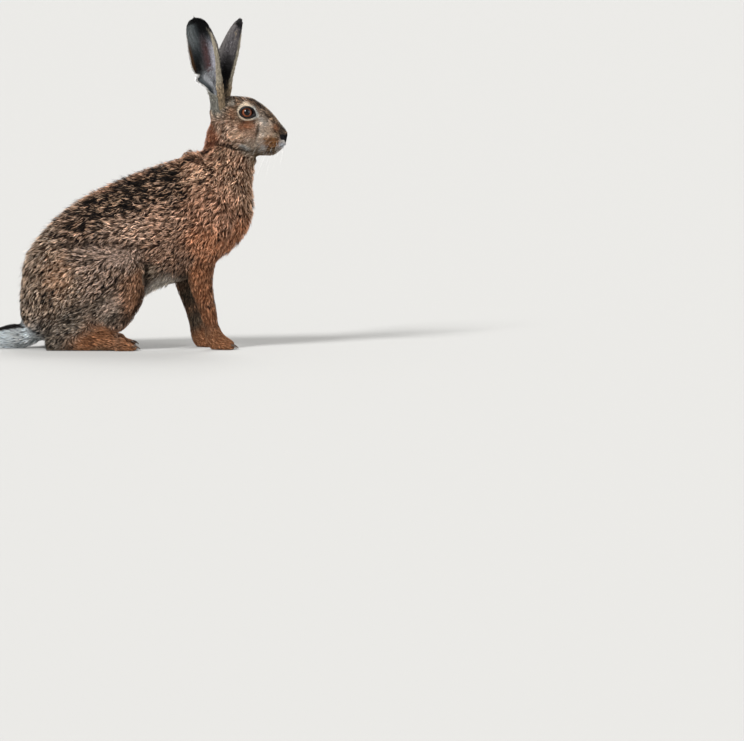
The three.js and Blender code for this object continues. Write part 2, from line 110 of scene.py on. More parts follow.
# Each kind of coat: colours at the root, the band and the tip of a tuft, and the share of black tufts.
COATS = {
    "ridge": ((86, 65, 51), (88, 63, 48), (240, 182, 146), 0.36),
    "back": ((52, 43, 36), (34, 27, 22), (246, 204, 170), 0.8),
    "loin": ((66, 54, 45), (52, 41, 32), (238, 196, 166), 0.55),
    "rump": ((100, 80, 66), (108, 84, 68), (255, 226, 198), 0.32),
    "flank": ((104, 82, 68), (118, 92, 76), (255, 216, 188), 0.18),
    "ribs": ((102, 78, 63), (108, 82, 66), (244, 198, 168), 0.16),
    "shoulder": ((110, 79, 61), (126, 90, 69), (255, 198, 164), 0.13),
    "chest": ((110, 74, 53), (148, 96, 68), (255, 188, 146), 0.1),
    "foreleg": ((100, 65, 45), (130, 84, 57), (218, 154, 114), 0.06),
    "thigh": ((90, 74, 62), (84, 68, 55), (244, 210, 188), 0.16),
    "shank": ((82, 72, 62), (76, 66, 56), (182, 166, 150), 0.2),
    "knee": ((102, 74, 56), (112, 79, 58), (216, 164, 130), 0.08),
    "groin": ((96, 84, 72), (98, 84, 70), (158, 142, 124), 0.08),
    "inner": ((74, 64, 54), (82, 70, 58), (122, 106, 88), 0.08),
    "belly": ((176, 166, 154), (196, 186, 174), (228, 220, 208), 0.0),
    "nape": ((92, 54, 40), (126, 78, 56), (206, 140, 106), 0.07),
    "neck": ((118, 86, 66), (150, 107, 83), (255, 214, 180), 0.26),
    "throat": ((106, 79, 61), (128, 94, 72), (255, 212, 178), 0.14),
    "crown": ((46, 37, 31), (38, 30, 25), (188, 150, 120), 0.5),
    "cheek": ((128, 98, 80), (144, 109, 88), (255, 228, 202), 0.14),
    "temple": ((92, 71, 56), (90, 68, 52), (226, 186, 154), 0.18),
    "bridge": ((74, 58, 46), (76, 59, 46), (206, 172, 140), 0.24),
    "streak": ((158, 140, 124), (182, 163, 144), (250, 236, 220), 0.05),
    "pad": ((92, 66, 47), (106, 76, 50), (204, 152, 110), 0.16),
    "lip": ((206, 198, 190), (222, 216, 210), (240, 236, 232), 0.0),
    "chin": ((96, 80, 64), (106, 88, 68), (164, 142, 114), 0.05),
    "jaw": ((136, 118, 102), (152, 134, 116), (220, 206, 188), 0.03),
    "ear_root": ((112, 106, 97), (116, 108, 97), (200, 190, 172), 0.08),
    "foot": ((112, 73, 50), (130, 86, 58), (194, 140, 102), 0.03),
    "sole": ((112, 84, 62), (128, 98, 74), (160, 128, 100), 0.02),
    # The tail's pale coat, made greyer and cooler as painted shade.
    "tail": ((162, 168, 171), (182, 189, 192), (210, 217, 220), 0.0),
}
# Spots of the head, its markings and a few painted shades: the place (x, z), how far it reaches along and across,
# its turn, colour, strength, and whether it also covers the middle of the face.
SPOTS = [
    (156.0, 399.0, 5.5, 9.0, 0, (158, 110, 82), 0.5, False),
    (193.0, 367.0, 6.0, 9.0, 0, (160, 110, 80), 0.55, False),
    (157.8, 418.0, 3.6, 4.6, 0, (215, 205, 190), 0.8, False),
    (180.0, 424.5, 9.0, 2.4, 8, (140, 98, 68), 0.6, False),
    # Painted shade under the pale ring below the eye.
    (184.0, 388.0, 13.0, 3.0, 10, (104, 68, 46), 0.85, False),
    (181.0, 380.0, 17.0, 6.5, 6, (166, 106, 74), 0.72, False),
    (205.5, 392.0, 5.0, 4.0, -40, (216, 208, 198), 0.85, False),
    (211.0, 386.0, 5.0, 6.2, 20, (212, 202, 192), 0.9, False),
    (208.5, 378.0, 4.0, 6.0, 10, (186, 170, 154), 0.75, False),
    (216.5, 375.0, 6.0, 6.5, 0, (174, 148, 126), 0.55, False),
    # Painted shade in the crease between the cheek and the muzzle.
    (200.0, 374.0, 2.8, 10.0, -12, (84, 62, 48), 0.8, False),
    (184.0, 368.0, 10.0, 7.5, 0, (214, 176, 148), 0.6, False),
    (163.0, 366.0, 10.0, 8.0, 0, (218, 180, 148), 0.6, False),
    (162.6, 376.0, 2.6, 5.0, 10, (208, 188, 168), 0.6, False),
    (181.7, 357.0, 4.0, 4.0, 0, (204, 186, 168), 0.45, False),
    (177.0, 345.5, 8.5, 3.4, -22, (232, 230, 224), 1.0, False),
    (184.0, 341.4, 4.5, 3.0, -15, (198, 194, 188), 0.65, False),
    (222.0, 351.0, 14.0, 12.5, 0, (150, 104, 66), 0.9, False),
    (213.0, 354.0, 8.0, 8.0, 0, (156, 110, 74), 0.6, False),
    (226.0, 341.0, 9.0, 4.0, 5, (128, 106, 80), 0.7, False),
    # Painted shade under the muzzle.
    (222.0, 335.5, 11.0, 2.6, 4, (66, 52, 40), 0.7, False),
    (229.5, 364.0, 5.8, 3.8, -15, (192, 172, 148), 0.75, False),
    (230.5, 377.0, 5.0, 6.0, 20, (164, 112, 82), 0.75, False),
    (209.3, 365.0, 3.0, 3.2, 0, (204, 190, 176), 0.75, False),
    (206.0, 356.0, 2.6, 5.0, 0, (188, 170, 152), 0.55, False),
    (208.8, 344.5, 5.2, 4.6, 30, (216, 214, 210), 0.85, False),
    (203.5, 338.0, 4.2, 3.6, 0, (190, 187, 180), 0.6, False),
    (242.5, 346.0, 6.6, 4.8, -25, (218, 223, 232), 1.0, True),
    (243.5, 373.5, 6.0, 7.0, 0, (72, 61, 52), 0.75, True),
    (227.5, 396.0, 12.0, 4.5, -47, (86, 72, 60), 0.5, False),
    (233.5, 340.0, 8.0, 3.6, 10, (100, 84, 62), 0.7, True),
]
# Spots of the body's outer sides, in the same order.
BODY_SPOTS = [
    # A painted highlight on the top of the thigh.
    (-40, 160, 34, 13, 0, (208, 180, 162), 0.6),
    (-50, 77, 22, 12, 35, (196, 168, 150), 0.6),
    (-27, 55, 13, 9, 0, (64, 46, 34), 0.8),
    (-140, 128, 26, 36, 0, (198, 138, 94), 0.35),
    (134, 333, 10, 6, 10, (232, 196, 162), 0.6),
    (150, 336, 12, 5, -10, (228, 190, 158), 0.6),
    (176, 328, 12, 5, -20, (224, 186, 154), 0.55),
    (139, 326, 6, 4, 0, (26, 20, 18), 0.8),
    (126, 331, 5, 3, 0, (26, 20, 18), 0.7),
    (158, 330, 9, 2.6, -15, (26, 20, 18), 0.75),
    (180, 322, 8, 2.4, -20, (26, 20, 18), 0.65),
    (113, 327, 7, 3, 0, (26, 20, 18), 0.6),
]
WHISKER_PAD = (222, 352, 14, 12.5, 0)
# Folds of the body seen from the side, sunk into the skin and darkened with painted shade: the line, how wide and
# deep the fold is and how dark its painted shade is.
FOLDS = [
    (
        (
            (-128, 173), (-97, 179), (-66, 180), (-29, 179), (-4, 177),
            (8, 165), (11, 142), (10, 118), (2, 90), (-11, 62),
        ),
        4.2, 4.5, 0.85,
    ),
    (((-32, 121), (-56, 104), (-73, 91), (-92, 77), (-116, 64)), 3.6, 3.0, 0.75),
    (((108, 347), (124, 350), (144, 347.5), (165, 341.4), (188, 335.4), (203, 328)), 4.5, 4.5, 1.0),
    (((201, 384), (200.5, 374), (197, 361), (196, 352)), 2.2, 1.0, 0.7),
    (((84, 122), (70, 150), (62, 178), (64, 205)), 5.0, 2.0, 0.35),
]
# Low rises of the body that the solids leave out: the place, how far each reaches, how high, and if there are two.
# The first is behind the neck. Its hair is dark and lies close, each about a place of its own.
HUMPS = [((82, 14, 327), 12, 12.5, False), ((-66, 74, 160), 26, 2.0, True), ((-70, 78, 78), 20, 2.5, True)]
RISE_DARK_AT, RISE_COAT_AT = ((82, 12, 341), 18), ((82, 14, 335), 15)
TAIL_BLACK_X, TAIL_BLACK_Z = (-262, -236, -206, -186), (23, 29, 33, 36)  # the lower edge of the tail's black

RISE_DARK = linear((50, 38, 32))
PAD_SPECKLE = linear((78, 56, 40))
FOLD_SHADE = linear((24, 18, 15))
EYE_RING = linear((250, 230, 204))
EYE_RING_SHADED_FRONT = linear((196, 196, 190))
BLACK_HAIR = linear((20, 17, 16))
MOUTH_DARK = linear((46, 34, 30))
CLEFT_DARK = linear((84, 66, 60))
NOSE_MIDDLE = linear((50, 41, 38))
NOSE_BLACK = linear((16, 14, 15))
TAIL_TOP = linear((26, 23, 23))

# The coat at named places: the place (y on the left), the lie of the hair, the depth of the coat, the length
# and width of a tuft, tufts to a square centimetre, and the kind of coat. Between them all of these blend.
PLACES = {
    "nose_top": ((246, 5, 371), (-0.5, 0.2, 0.8), 1.2, 3.01, 0.57, 78, "bridge"),
    "nose_bridge": ((226, 8, 397), (-0.65, 0.1, 0.7), 2, 4.3, 0.66, 78, "bridge"),
    "forehead": ((203, 10, 418), (-0.85, 0.1, 0.5), 2.8, 5.59, 0.74, 68, "crown"),
    "crown": ((175, 8, 430), (-1, 0.1, 0.05), 3.6, 6.88, 0.82, 62, "crown"),
    "behind_ears": ((136, 4, 424), (-0.9, 0.1, -0.4), 4, 6.02, 0.66, 72, "crown"),
    "temple": ((160, 27, 408), (-1, 0.1, 0.1), 2.8, 5.16, 0.74, 70, "temple"),
    "ear_root": ((130, 24, 410), (-0.5, 0.1, 0.7), 2.8, 6.02, 0.74, 62, "ear_root"),
    "ear_front": ((146, 20, 422), (-0.6, 0.1, 0.7), 2.8, 6.02, 0.74, 62, "ear_root"),
    "above_eye": ((182, 27, 418), (-1, 0.1, 0.2), 1.8, 4.3, 0.74, 78, "temple"),
    "below_eye": ((184, 33, 384), (-1, 0.1, -0.2), 1.9, 4.3, 0.66, 78, "temple"),
    "muzzle_side": ((212, 22, 384), (-0.9, 0.2, -0.1), 2, 4.3, 0.66, 78, "streak"),
    "muzzle_low": ((213, 24, 362), (-0.9, 0.1, -0.3), 2.1, 4.3, 0.66, 75, "streak"),
    "whisker_pad": ((230, 20, 352), (-0.9, 0.2, -0.35), 2, 4.3, 0.66, 78, "pad"),
    "nose_side": ((237, 14, 370), (-0.8, 0.2, 0.4), 1.6, 3.44, 0.66, 78, "bridge"),
    "lip_front": ((246, 8, 350), (-0.5, 0.3, -0.6), 1.2, 3.01, 0.57, 83, "lip"),
    "chin": ((228, 6, 331), (-0.95, 0.1, -0.2), 2.2, 4.73, 0.66, 70, "chin"),
    "cheek": ((166, 35, 364), (-0.85, 0.1, -0.45), 3.2, 5.59, 0.82, 68, "cheek"),
    "cheek_back": ((140, 30, 376), (-0.6, 0.1, -0.75), 3.8, 6.88, 0.9, 57, "cheek"),
    "jaw": ((186, 24, 337), (-0.9, 0.1, -0.3), 3.4, 6.02, 0.82, 62, "jaw"),
    "under_jaw": ((206, 8, 328), (-0.95, 0, -0.25), 3.2, 6.02, 0.82, 60, "chin"),
    "nape": ((113, 10, 375), (-0.25, 0, -0.95), 5, 5.2, 0.66, 74, "nape"),
    "nape_side": ((122, 24, 366), (-0.35, 0, -0.95), 5, 5.2, 0.66, 74, "nape"),
    "nape_low": ((110, 14, 356), (-0.3, 0, -0.9), 7, 7.14, 0.74, 62, "nape"),
    "neck_top": ((140, 34, 338), (-0.5, 0, -0.85), 6, 7.5, 0.9, 54, "neck"),
    "neck_top_front": ((174, 27, 326), (-0.4, 0, -0.9), 6, 7.5, 0.9, 54, "neck"),
    "neck_side": ((150, 36, 322), (-0.45, 0, -0.9), 8, 8.3, 0.95, 55, "neck"),
    "neck_front": ((196, 10, 300), (-0.15, 0, -1), 8, 9, 0.95, 53, "throat"),
    "collar": ((118, 38, 325), (-0.65, 0, -0.75), 9, 9.6, 1.03, 49, "neck"),
    "throat_low": ((194, 14, 255), (-0.2, 0, -1), 10, 12.2, 1.03, 44, "throat"),
    "chest": ((186, 14, 205), (-0.4, 0, -0.9), 10, 11.5, 1.1, 38, "chest"),
    "brisket": ((158, 10, 165), (-0.8, 0, -0.6), 9, 10.2, 1.1, 38, "chest"),
    "withers": ((96, 8, 337), (-0.95, 0, -0.35), 10, 12.8, 1.3, 38, "ridge"),
    "shoulder_top": ((92, 38, 308), (-0.8, 0, -0.6), 10, 12.2, 1.03, 44, "neck"),
    "shoulder": ((112, 58, 245), (-0.72, 0, -0.7), 9, 11.5, 1.1, 38, "shoulder"),
    "shoulder_front": ((160, 50, 236), (-0.45, 0, -0.9), 9, 10.9, 1.1, 38, "shoulder"),
    "upper_arm": ((112, 57, 180), (-0.45, 0, -0.9), 7, 9, 1, 45, "chest"),
    "armpit": ((72, 48, 150), (-0.5, 0, -0.85), 7, 9.6, 1.1, 42, "ribs"),
    "elbow": ((98, 50, 132), (-0.2, 0, -1), 5, 8.6, 1, 42, "foreleg"),
    "forearm": ((106, 44, 98), (0, 0, -1), 4, 6.6, 0.9, 49, "foreleg"),
    "wrist": ((118, 40, 58), (0.05, 0, -1), 2.8, 6.5, 1, 44, "foreleg"),
    "forearm_inner": ((108, 20, 92), (0, 0, -1), 4, 6.6, 0.9, 44, "inner"),
    "wrist_inner": ((118, 22, 52), (0.05, 0, -1), 2.8, 6.2, 0.9, 44, "inner"),
    "elbow_inner": ((98, 18, 130), (-0.2, 0, -1), 4.5, 7.8, 1, 39, "inner"),
    "fore_paw": ((140, 32, 24), (0.85, 0, -0.5), 2.2, 5.5, 0.9, 48, "foot"),
    "fore_toes": ((158, 32, 10), (1, 0, -0.25), 1.8, 5, 0.9, 48, "foot"),
    "back_front": ((58, 6, 323), (-1, 0, -0.25), 10, 12, 1.2, 40, "ridge"),
    "back_middle": ((0, 6, 305), (-0.95, 0, -0.3), 10, 12.4, 1.2, 40, "ridge"),
    "loin": ((-62, 6, 278), (-0.92, 0, -0.4), 11, 12.4, 1.2, 40, "ridge"),
    "back_side_front": ((54, 28, 308), (-1, 0.1, -0.3), 10, 12.8, 1.2, 38, "back"),
    "back_side": ((0, 30, 290), (-0.95, 0.1, -0.3), 10, 12.8, 1.2, 38, "back"),
    "loin_side": ((-62, 34, 262), (-0.92, 0.1, -0.4), 10, 12.8, 1.2, 38, "back"),
    "croup": ((-120, 14, 241), (-0.8, 0, -0.6), 11, 13.4, 1.4, 38, "loin"),
    "rump_top": ((-172, 12, 195), (-0.6, 0, -0.8), 11, 12.8, 1.3, 38, "rump"),
    "ribs_high": ((50, 46, 286), (-0.95, 0, -0.3), 10, 12.2, 1.2, 38, "loin"),
    "side_high": ((-30, 50, 262), (-0.95, 0, -0.3), 10, 12.8, 1.3, 38, "back"),
    "haunch_high": ((-100, 56, 222), (-0.85, 0, -0.5), 10, 12.8, 1.3, 38, "loin"),
    "ribs": ((46, 56, 225), (-0.95, 0, -0.35), 9, 11.5, 1.2, 38, "ribs"),
    "flank": ((-14, 58, 208), (-0.97, 0, -0.25), 9, 11.5, 1.2, 38, "flank"),
    "flank_low": ((32, 52, 160), (-0.9, 0, -0.4), 9, 11.5, 1.2, 38, "ribs"),
    "fold": ((20, 46, 132), (-0.7, 0, -0.7), 9, 11.5, 1.1, 38, "groin"),
    "belly": ((40, 12, 112), (-1, 0, -0.1), 9, 11.5, 1.2, 35, "belly"),
    "groin": ((-20, 20, 80), (-0.9, 0, -0.3), 8, 10.2, 1.2, 32, "belly"),
    "under_rump": ((-110, 12, 12), (-1, 0, 0), 4, 9.4, 1.4, 21, "belly"),
    "inner_thigh": ((-60, 34, 40), (-0.9, 0, -0.2), 4, 8.6, 1.3, 23, "belly"),
    "rump_side": ((-168, 52, 150), (-0.35, 0, -0.95), 9, 11.5, 1.2, 40, "rump"),
    "buttock": ((-204, 22, 112), (-0.1, 0, -1), 10, 11.5, 1.2, 40, "rump"),
    "buttock_low": ((-196, 26, 58), (-0.5, 0, -0.85), 8, 9.6, 1.1, 40, "rump"),
    "haunch_low": ((-160, 60, 84), (-0.45, 0, -0.9), 8, 10.2, 1.1, 42, "rump"),
    "thigh_top": ((-78, 78, 166), (-0.85, 0, -0.5), 8, 10.9, 1.1, 42, "thigh"),
    "thigh_front": ((-14, 74, 158), (-0.75, 0, -0.65), 7, 9.6, 1, 45, "thigh"),
    "thigh": ((-70, 82, 120), (-0.72, 0, -0.7), 7, 9.6, 1.1, 43, "thigh"),
    "thigh_back": ((-128, 76, 118), (-0.55, 0, -0.85), 8, 10.2, 1.1, 42, "rump"),
    "knee": ((4, 68, 122), (-0.35, 0, -0.95), 5, 8.6, 1, 42, "knee"),
    "knee_low": ((-6, 66, 84), (-0.55, 0, -0.85), 4.5, 7.8, 1, 44, "knee"),
    "shank": ((-50, 76, 72), (-0.85, 0, -0.5), 6, 8.3, 1, 45, "shank"),
    "hock": ((-112, 74, 46), (-0.9, 0, -0.3), 5, 8.6, 1.1, 39, "shank"),
    "heel": ((-156, 64, 20), (-0.6, 0, -0.7), 3, 8, 1.3, 34, "shank"),
    "instep": ((-66, 62, 26), (0.95, 0, -0.2), 2.6, 8, 1.2, 38, "foot"),
    "foot_side": ((-90, 70, 12), (0.95, 0, -0.2), 2.6, 8, 1.2, 38, "foot"),
    "hind_toes": ((-16, 56, 12), (1, 0, -0.25), 2, 6, 1, 44, "foot"),
    "sole": ((-80, 56, 0), (1, 0, 0), 1.6, 5, 1.4, 16, "sole"),
    "tail_root": ((-186, 8, 42), (-1, 0, -0.05), 5, 10.2, 1.1, 39, "tail"),
    "tail": ((-232, 12, 26), (-1, 0, -0.02), 5, 11.9, 1.1, 39, "tail"),
    "tail_tip": ((-258, 4, 16), (-1, 0, 0), 4, 10.2, 1, 39, "tail"),
}


# ---------------------------------------------------------------- small helpers
def unit(v):
    return v / np.maximum(np.linalg.norm(v, axis=-1, keepdims=True), 1e-9)


def mix(a, b, share):
    return a + (b - a) * np.asarray(share)[..., None]


def smoothstep(value, start, end):
    """From 0 at start to 1 at end. It falls as the value rises where start is the greater of the two."""
    t = np.clip((np.asarray(value, float) - start) / (end - start), 0, 1)
    return t * t * (3 - 2 * t)


def bell(value, middle, reach):
    """1 in the middle, falling away over the reach on both sides."""
    return np.exp(-(((value - middle) / reach) ** 2))


def mound(points, middle, reach):
    """1 at a place, falling away over the reach all round it."""
    return np.exp(-(((points - np.array(middle)) / reach) ** 2).sum(1))


def halved(points):
    """The points with their y taken to the left side."""
    return points * [1, 0, 1] + np.abs(points) * [0, 1, 0]


def noise(points, scale, seed):
    """Smooth value noise from 0 to 1 at points in millimetres, one lump to each scale millimetres."""
    p = points / scale + seed * 17.3
    cell = np.floor(p).astype(np.int64)
    f = p - cell
    f = f * f * (3 - 2 * f)
    total = np.zeros(len(points))
    for corner in np.ndindex(2, 2, 2):
        c = cell + corner
        h = (c[:, 0] * 73856093) ^ (c[:, 1] * 19349663) ^ (c[:, 2] * 83492791) ^ (seed * 2654435)
        h = (h ^ (h >> 13)) * 1274126177
        value = ((h ^ (h >> 16)) & 0xFFFF) / 65535
        weight = np.prod(np.where(corner, f, 1 - f), axis=1)
        total += value * weight
    return total


def link(obj):
    bpy.context.scene.collection.objects.link(obj)
    return obj


def mesh_from(name, points_mm, corners, sizes):
    """A smooth mesh from flat arrays: corners lists the faces' vertices, and sizes how many each face has."""
    me = bpy.data.meshes.new(name)
    me.vertices.add(len(points_mm))
    me.vertices.foreach_set("co", to_metres(points_mm).astype(np.float32).ravel())
    me.loops.add(len(corners))
    me.loops.foreach_set("vertex_index", np.asarray(corners, np.int32))
    me.polygons.add(len(sizes))
    starts = np.concatenate([[0], np.cumsum(sizes)[:-1]]).astype(np.int32)
    me.polygons.foreach_set("loop_start", starts)
    me.update(calc_edges=True)
    me.validate()
    smooth(me)
    return me


def smooth(me):
    me.polygons.foreach_set("use_smooth", np.ones(len(me.polygons), bool))


def read(collection, name, width, kind=np.int32):
    """One property of everything in a collection, as rows of the given width."""
    flat = np.zeros(len(collection) * width, kind)
    collection.foreach_get(name, flat)
    return flat.reshape(-1, width)


@contextmanager
def editing(me):
    """The mesh opened for editing, and written back at the end."""
    bm = bmesh.new()
    bm.from_mesh(me)
    yield bm
    bm.to_mesh(me)
    bm.free()


def set_colour(me, name, rgb):
    attribute = me.attributes.new(name, "FLOAT_COLOR", "POINT")
    rgba = np.concatenate([rgb, np.ones((len(rgb), 1))], axis=1)
    attribute.data.foreach_set("color", rgba.astype(np.float32).ravel())


def set_vector(me, name, values):
    attribute = me.attributes.new(name, "FLOAT_VECTOR", "POINT")
    attribute.data.foreach_set("vector", values.astype(np.float32).ravel())


def set_uv(me, per_vertex):
    corners = read(me.loops, "vertex_index", 1)[:, 0]
    layer = me.uv_layers.new(name="OFBake")
    layer.data.foreach_set("uv", per_vertex[corners].astype(np.float32).ravel())


def grid_faces(rows, columns, closed):
    """Quads of a grid of points, row by row. closed joins the last column to the first."""
    r, c = np.meshgrid(np.arange(rows - 1), np.arange(columns if closed else columns - 1), indexing="ij")
    here, beside = r * columns + c, r * columns + (c + 1) % columns
    return np.stack([here, beside, beside + columns, here + columns], -1).reshape(-1, 4)


# ---------------------------------------------------------------- materials
def material(name, roughness, **sockets):
    mat = bpy.data.materials.new(name)
    mat.use_nodes = True
    shader_of(mat).inputs["Roughness"].default_value = roughness
    for socket, value in sockets.items():
        shader_of(mat).inputs[socket.replace("_", " ")].default_value = value
    return mat


def shader_of(mat):
    return mat.node_tree.nodes["Principled BSDF"]


def node(mat, kind, **values):
    made = mat.node_tree.nodes.new(kind)
    for key, value in values.items():
        if key in made.inputs:
            made.inputs[key].default_value = value
        else:
            setattr(made, key, value)
    return made


def wire(mat, source, target):
    mat.node_tree.links.new(source, target)


def streaked(mat, vector, amount, depth):
    """Colours mat from its Coat attribute, broken into fine strands by a noise over vector, with bump to match."""
    coat = node(mat, "ShaderNodeAttribute", attribute_name="Coat")
    strands = node(mat, "ShaderNodeTexNoise", Scale=1.0, Detail=3.0, Roughness=0.65)
    wire(mat, vector, strands.inputs["Vector"])
    levels = {"From Min": 0.28, "From Max": 0.72, "To Min": 1 - amount, "To Max": 1 + amount * 0.7}
    shade = node(mat, "ShaderNodeMapRange", **levels)
    wire(mat, strands.outputs["Fac"], shade.inputs["Value"])
    tint = node(mat, "ShaderNodeVectorMath", operation="SCALE")
    wire(mat, coat.outputs["Color"], tint.inputs[0])
    wire(mat, shade.outputs["Result"], tint.inputs["Scale"])
    wire(mat, tint.outputs["Vector"], shader_of(mat).inputs["Base Color"])
    bumped(mat, strands.outputs["Fac"], 0.6, depth)


def bumped(mat, height, strength, depth):
    bump = node(mat, "ShaderNodeBump", Strength=strength, Distance=depth)
    wire(mat, height, bump.inputs["Height"])
    wire(mat, bump.outputs["Normal"], shader_of(mat).inputs["Normal"])


def ramped(mat, share, first, last, start=0.0, end=1.0):
    """Colours mat from first to last as share rises from start to end."""
    ramp = node(mat, "ShaderNodeValToRGB")
    for stop, rgb, at in zip(ramp.color_ramp.elements, (first, last), (start, end)):
        stop.color, stop.position = (*linear(rgb), 1), at
    wire(mat, share, ramp.inputs["Fac"])
    wire(mat, ramp.outputs["Color"], shader_of(mat).inputs["Base Color"])


def in_place(mat, kind, **values):
    """A node of the given kind over the object's own coordinates."""
    made = node(mat, kind, **values)
    wire(mat, node(mat, "ShaderNodeTexCoord").outputs["Object"], made.inputs["Vector"])
    return made


def coat_material():
    mat = material("coat_fur", 0.6, Specular_IOR_Level=0.1)
    strand = node(mat, "ShaderNodeAttribute", attribute_name="Strand")
    streaked(mat, strand.outputs["Vector"], 0.34, 0.0003)
    return mat


def skin_material():
    mat = material("skin_fur", 0.75, Specular_IOR_Level=0.1)
    stretch = in_place(mat, "ShaderNodeMapping", Scale=(500, 900, 500))
    streaked(mat, stretch.outputs["Vector"], 0.4, 0.0006)
    return mat


def dark_skin_material():
    """Bare black skin of the lids, moist, with fine pores."""
    mat = material("bare_skin", 0.46, Specular_IOR_Level=0.22)
    pores = in_place(mat, "ShaderNodeTexVoronoi", Scale=1500.0)
    ramped(mat, pores.outputs["Distance"], (5, 4, 5), (18, 14, 14))
    bumped(mat, pores.outputs["Distance"], 0.3, 0.0002)
    return mat


def eye_material():
    """Coloured from the Coat attribute, streaked outwards, under a clear wet coat."""
    mat = material("eye_wet", 0.2, Specular_IOR_Level=0.0, Coat_Weight=0.9, Coat_Roughness=0.02, Coat_IOR=1.36)
    ray = node(mat, "ShaderNodeAttribute", attribute_name="Strand")
    streaked(mat, ray.outputs["Vector"], 0.3, 0.00005)
    return mat


def horn_material():
    mat = material("claw_horn", 0.38, Specular_IOR_Level=0.4)
    grain = in_place(mat, "ShaderNodeTexNoise", Scale=900.0, Detail=2.0)
    ramped(mat, grain.outputs["Fac"], (38, 29, 24), (92, 74, 60))
    return mat


def whisker_material():
    """Dark at the root and white beyond it."""
    mat = material("whisker_hair", 0.3, Specular_IOR_Level=0.5)
    along = node(mat, "ShaderNodeAttribute", attribute_name="Strand")
    split = node(mat, "ShaderNodeSeparateXYZ")
    wire(mat, along.outputs["Vector"], split.inputs["Vector"])
    ramped(mat, split.outputs["X"], (70, 56, 46), (246, 244, 240), 0.16, 0.4)
    return mat


COAT, SKIN, BARE, EYE_MAT = coat_material(), skin_material(), dark_skin_material(), eye_material()
HORN, WHISKER = horn_material(), whisker_material()


# ---------------------------------------------------------------- the coat's fields
FIELD_NAMES = ("depth", "length", "width", "density")


def places_table():
    at, lie, sizes, colours = [], [], [], []
    for place, way, depth, length, width, density, kind in PLACES.values():
        root, band, tip, black = COATS[kind]
        at.append(place)
        lie.append(way)
        sizes.append((depth, length, width, density))
        colours.append(np.concatenate([linear(root), linear(band), linear(tip), [black]]))
    return np.array(at, float), unit(np.array(lie, float)), np.array(sizes), np.array(colours)


PLACE_AT, PLACE_LIE, PLACE_SIZES, PLACE_COLOURS = places_table()


def left_leg_moved(points):
    """Points of the left legs, which stand further back, taken to where the right ones stand."""
    p = points.copy()
    left = points[:, 1] > 0
    fore = LEFT_FORE_BACK * smoothstep(p[:, 2], 250, 120) * smoothstep(p[:, 0], 14, 34)
    hind = LEFT_HIND_BACK * smoothstep(p[:, 0], 14, 0) * smoothstep(p[:, 2], 200, 150)
    p[:, 0] += np.where(left, fore + hind, 0)
    return p


def fields(points):
    """The lie, sizes and colours of the coat at points, blended from the named places."""
    p = halved(left_leg_moved(points))
    lie, sizes, colours = [], [], []
    for part in np.array_split(p, max(1, len(p) // 20000)):
        apart = ((part[:, None, :] - PLACE_AT[None]) ** 2).sum(-1) + 36
        weight = apart**-2.3
        weight /= weight.sum(1, keepdims=True)
        lie.append(weight @ PLACE_LIE)
        sizes.append(weight @ PLACE_SIZES)
        colours.append(weight @ PLACE_COLOURS)
    lie, sizes, colours = np.concatenate(lie), np.concatenate(sizes), np.concatenate(colours)
    from_eye = unit((p - EYE) * [1, 0, 1])
    inward = np.minimum((lie * from_eye).sum(1), 0)
    near = smoothstep(eye_distance(points), 1.7, 1.1)
    lie = unit(lie + from_eye * (near * (0.4 - inward))[:, None])
    lie[:, 1] *= np.sign(points[:, 1])
    return lie, dict(zip(FIELD_NAMES, sizes.T)), colours


def eye_turn(points):
    """The direction of points from the middle of the eye, seen from the side, in degrees."""
    p = halved(points) - EYE
    return np.degrees(np.arctan2(p[:, 2], p[:, 0]))


def eye_distance(points):
    """How far points lie from the middle of the eye, seen from the side, as a share of its black rim."""
    p = halved(points) - EYE
    reach = np.interp(eye_turn(points), RIM_TURN, RIM_REACH)
    return np.where(p[:, 1] > -11, np.hypot(p[:, 0], p[:, 2]) / reach, 9.0)


def nose_black(points):
    """1 on the bare skin about the nostrils, which narrows downwards; it is painted black, partly for the dark skin
    and partly as painted shade in the nostrils.
    """
    x, y, z = halved(points).T
    back = np.interp(z, [351, 354, 358, 364], [2.0, 6.5, 8.5, 9.5])
    wide = np.interp(z, [350, 353, 357, 362, 366], [3.0, 6.0, 7.8, 9.0, 6.6])
    wide = wide + 1.3 * np.maximum(246 - x, 0) * smoothstep(z, 354.5, 359)
    level = smoothstep(z, 350.5, 352) * smoothstep(z, 366.5, 364.0)
    return level * smoothstep(x, 246.5 - back, 248 - back) * smoothstep(y, wide + 1.2, wide)


def line_gap(points, line):
    """Distance from a line of (x, z), seen from the side."""
    line = np.array(line, float)
    best = np.full(len(points), 1e9)
    q = points[:, [0, 2]]
    for a, b in zip(line, line[1:]):
        way = b - a
        t = np.clip(((q - a) @ way) / (way @ way), 0, 1)
        best = np.minimum(best, np.linalg.norm(q - a - t[:, None] * way, axis=1))
    return best


def mouth_gap(points):
    return line_gap(points, MOUTH_LINE)


def folded(points):
    """How deep the folds are at points, and how dark their painted shade is, from 0 to 1."""
    p = left_leg_moved(points)
    depth, dark = np.zeros(len(p)), np.zeros(len(p))
    outside = smoothstep(np.abs(p[:, 1]), 10, 22)
    for line, width, deep, shade in FOLDS:
        near = bell(line_gap(p, line), 0, width) * outside
        depth, dark = np.maximum(depth, near * deep), np.maximum(dark, near * shade)
    return depth, dark


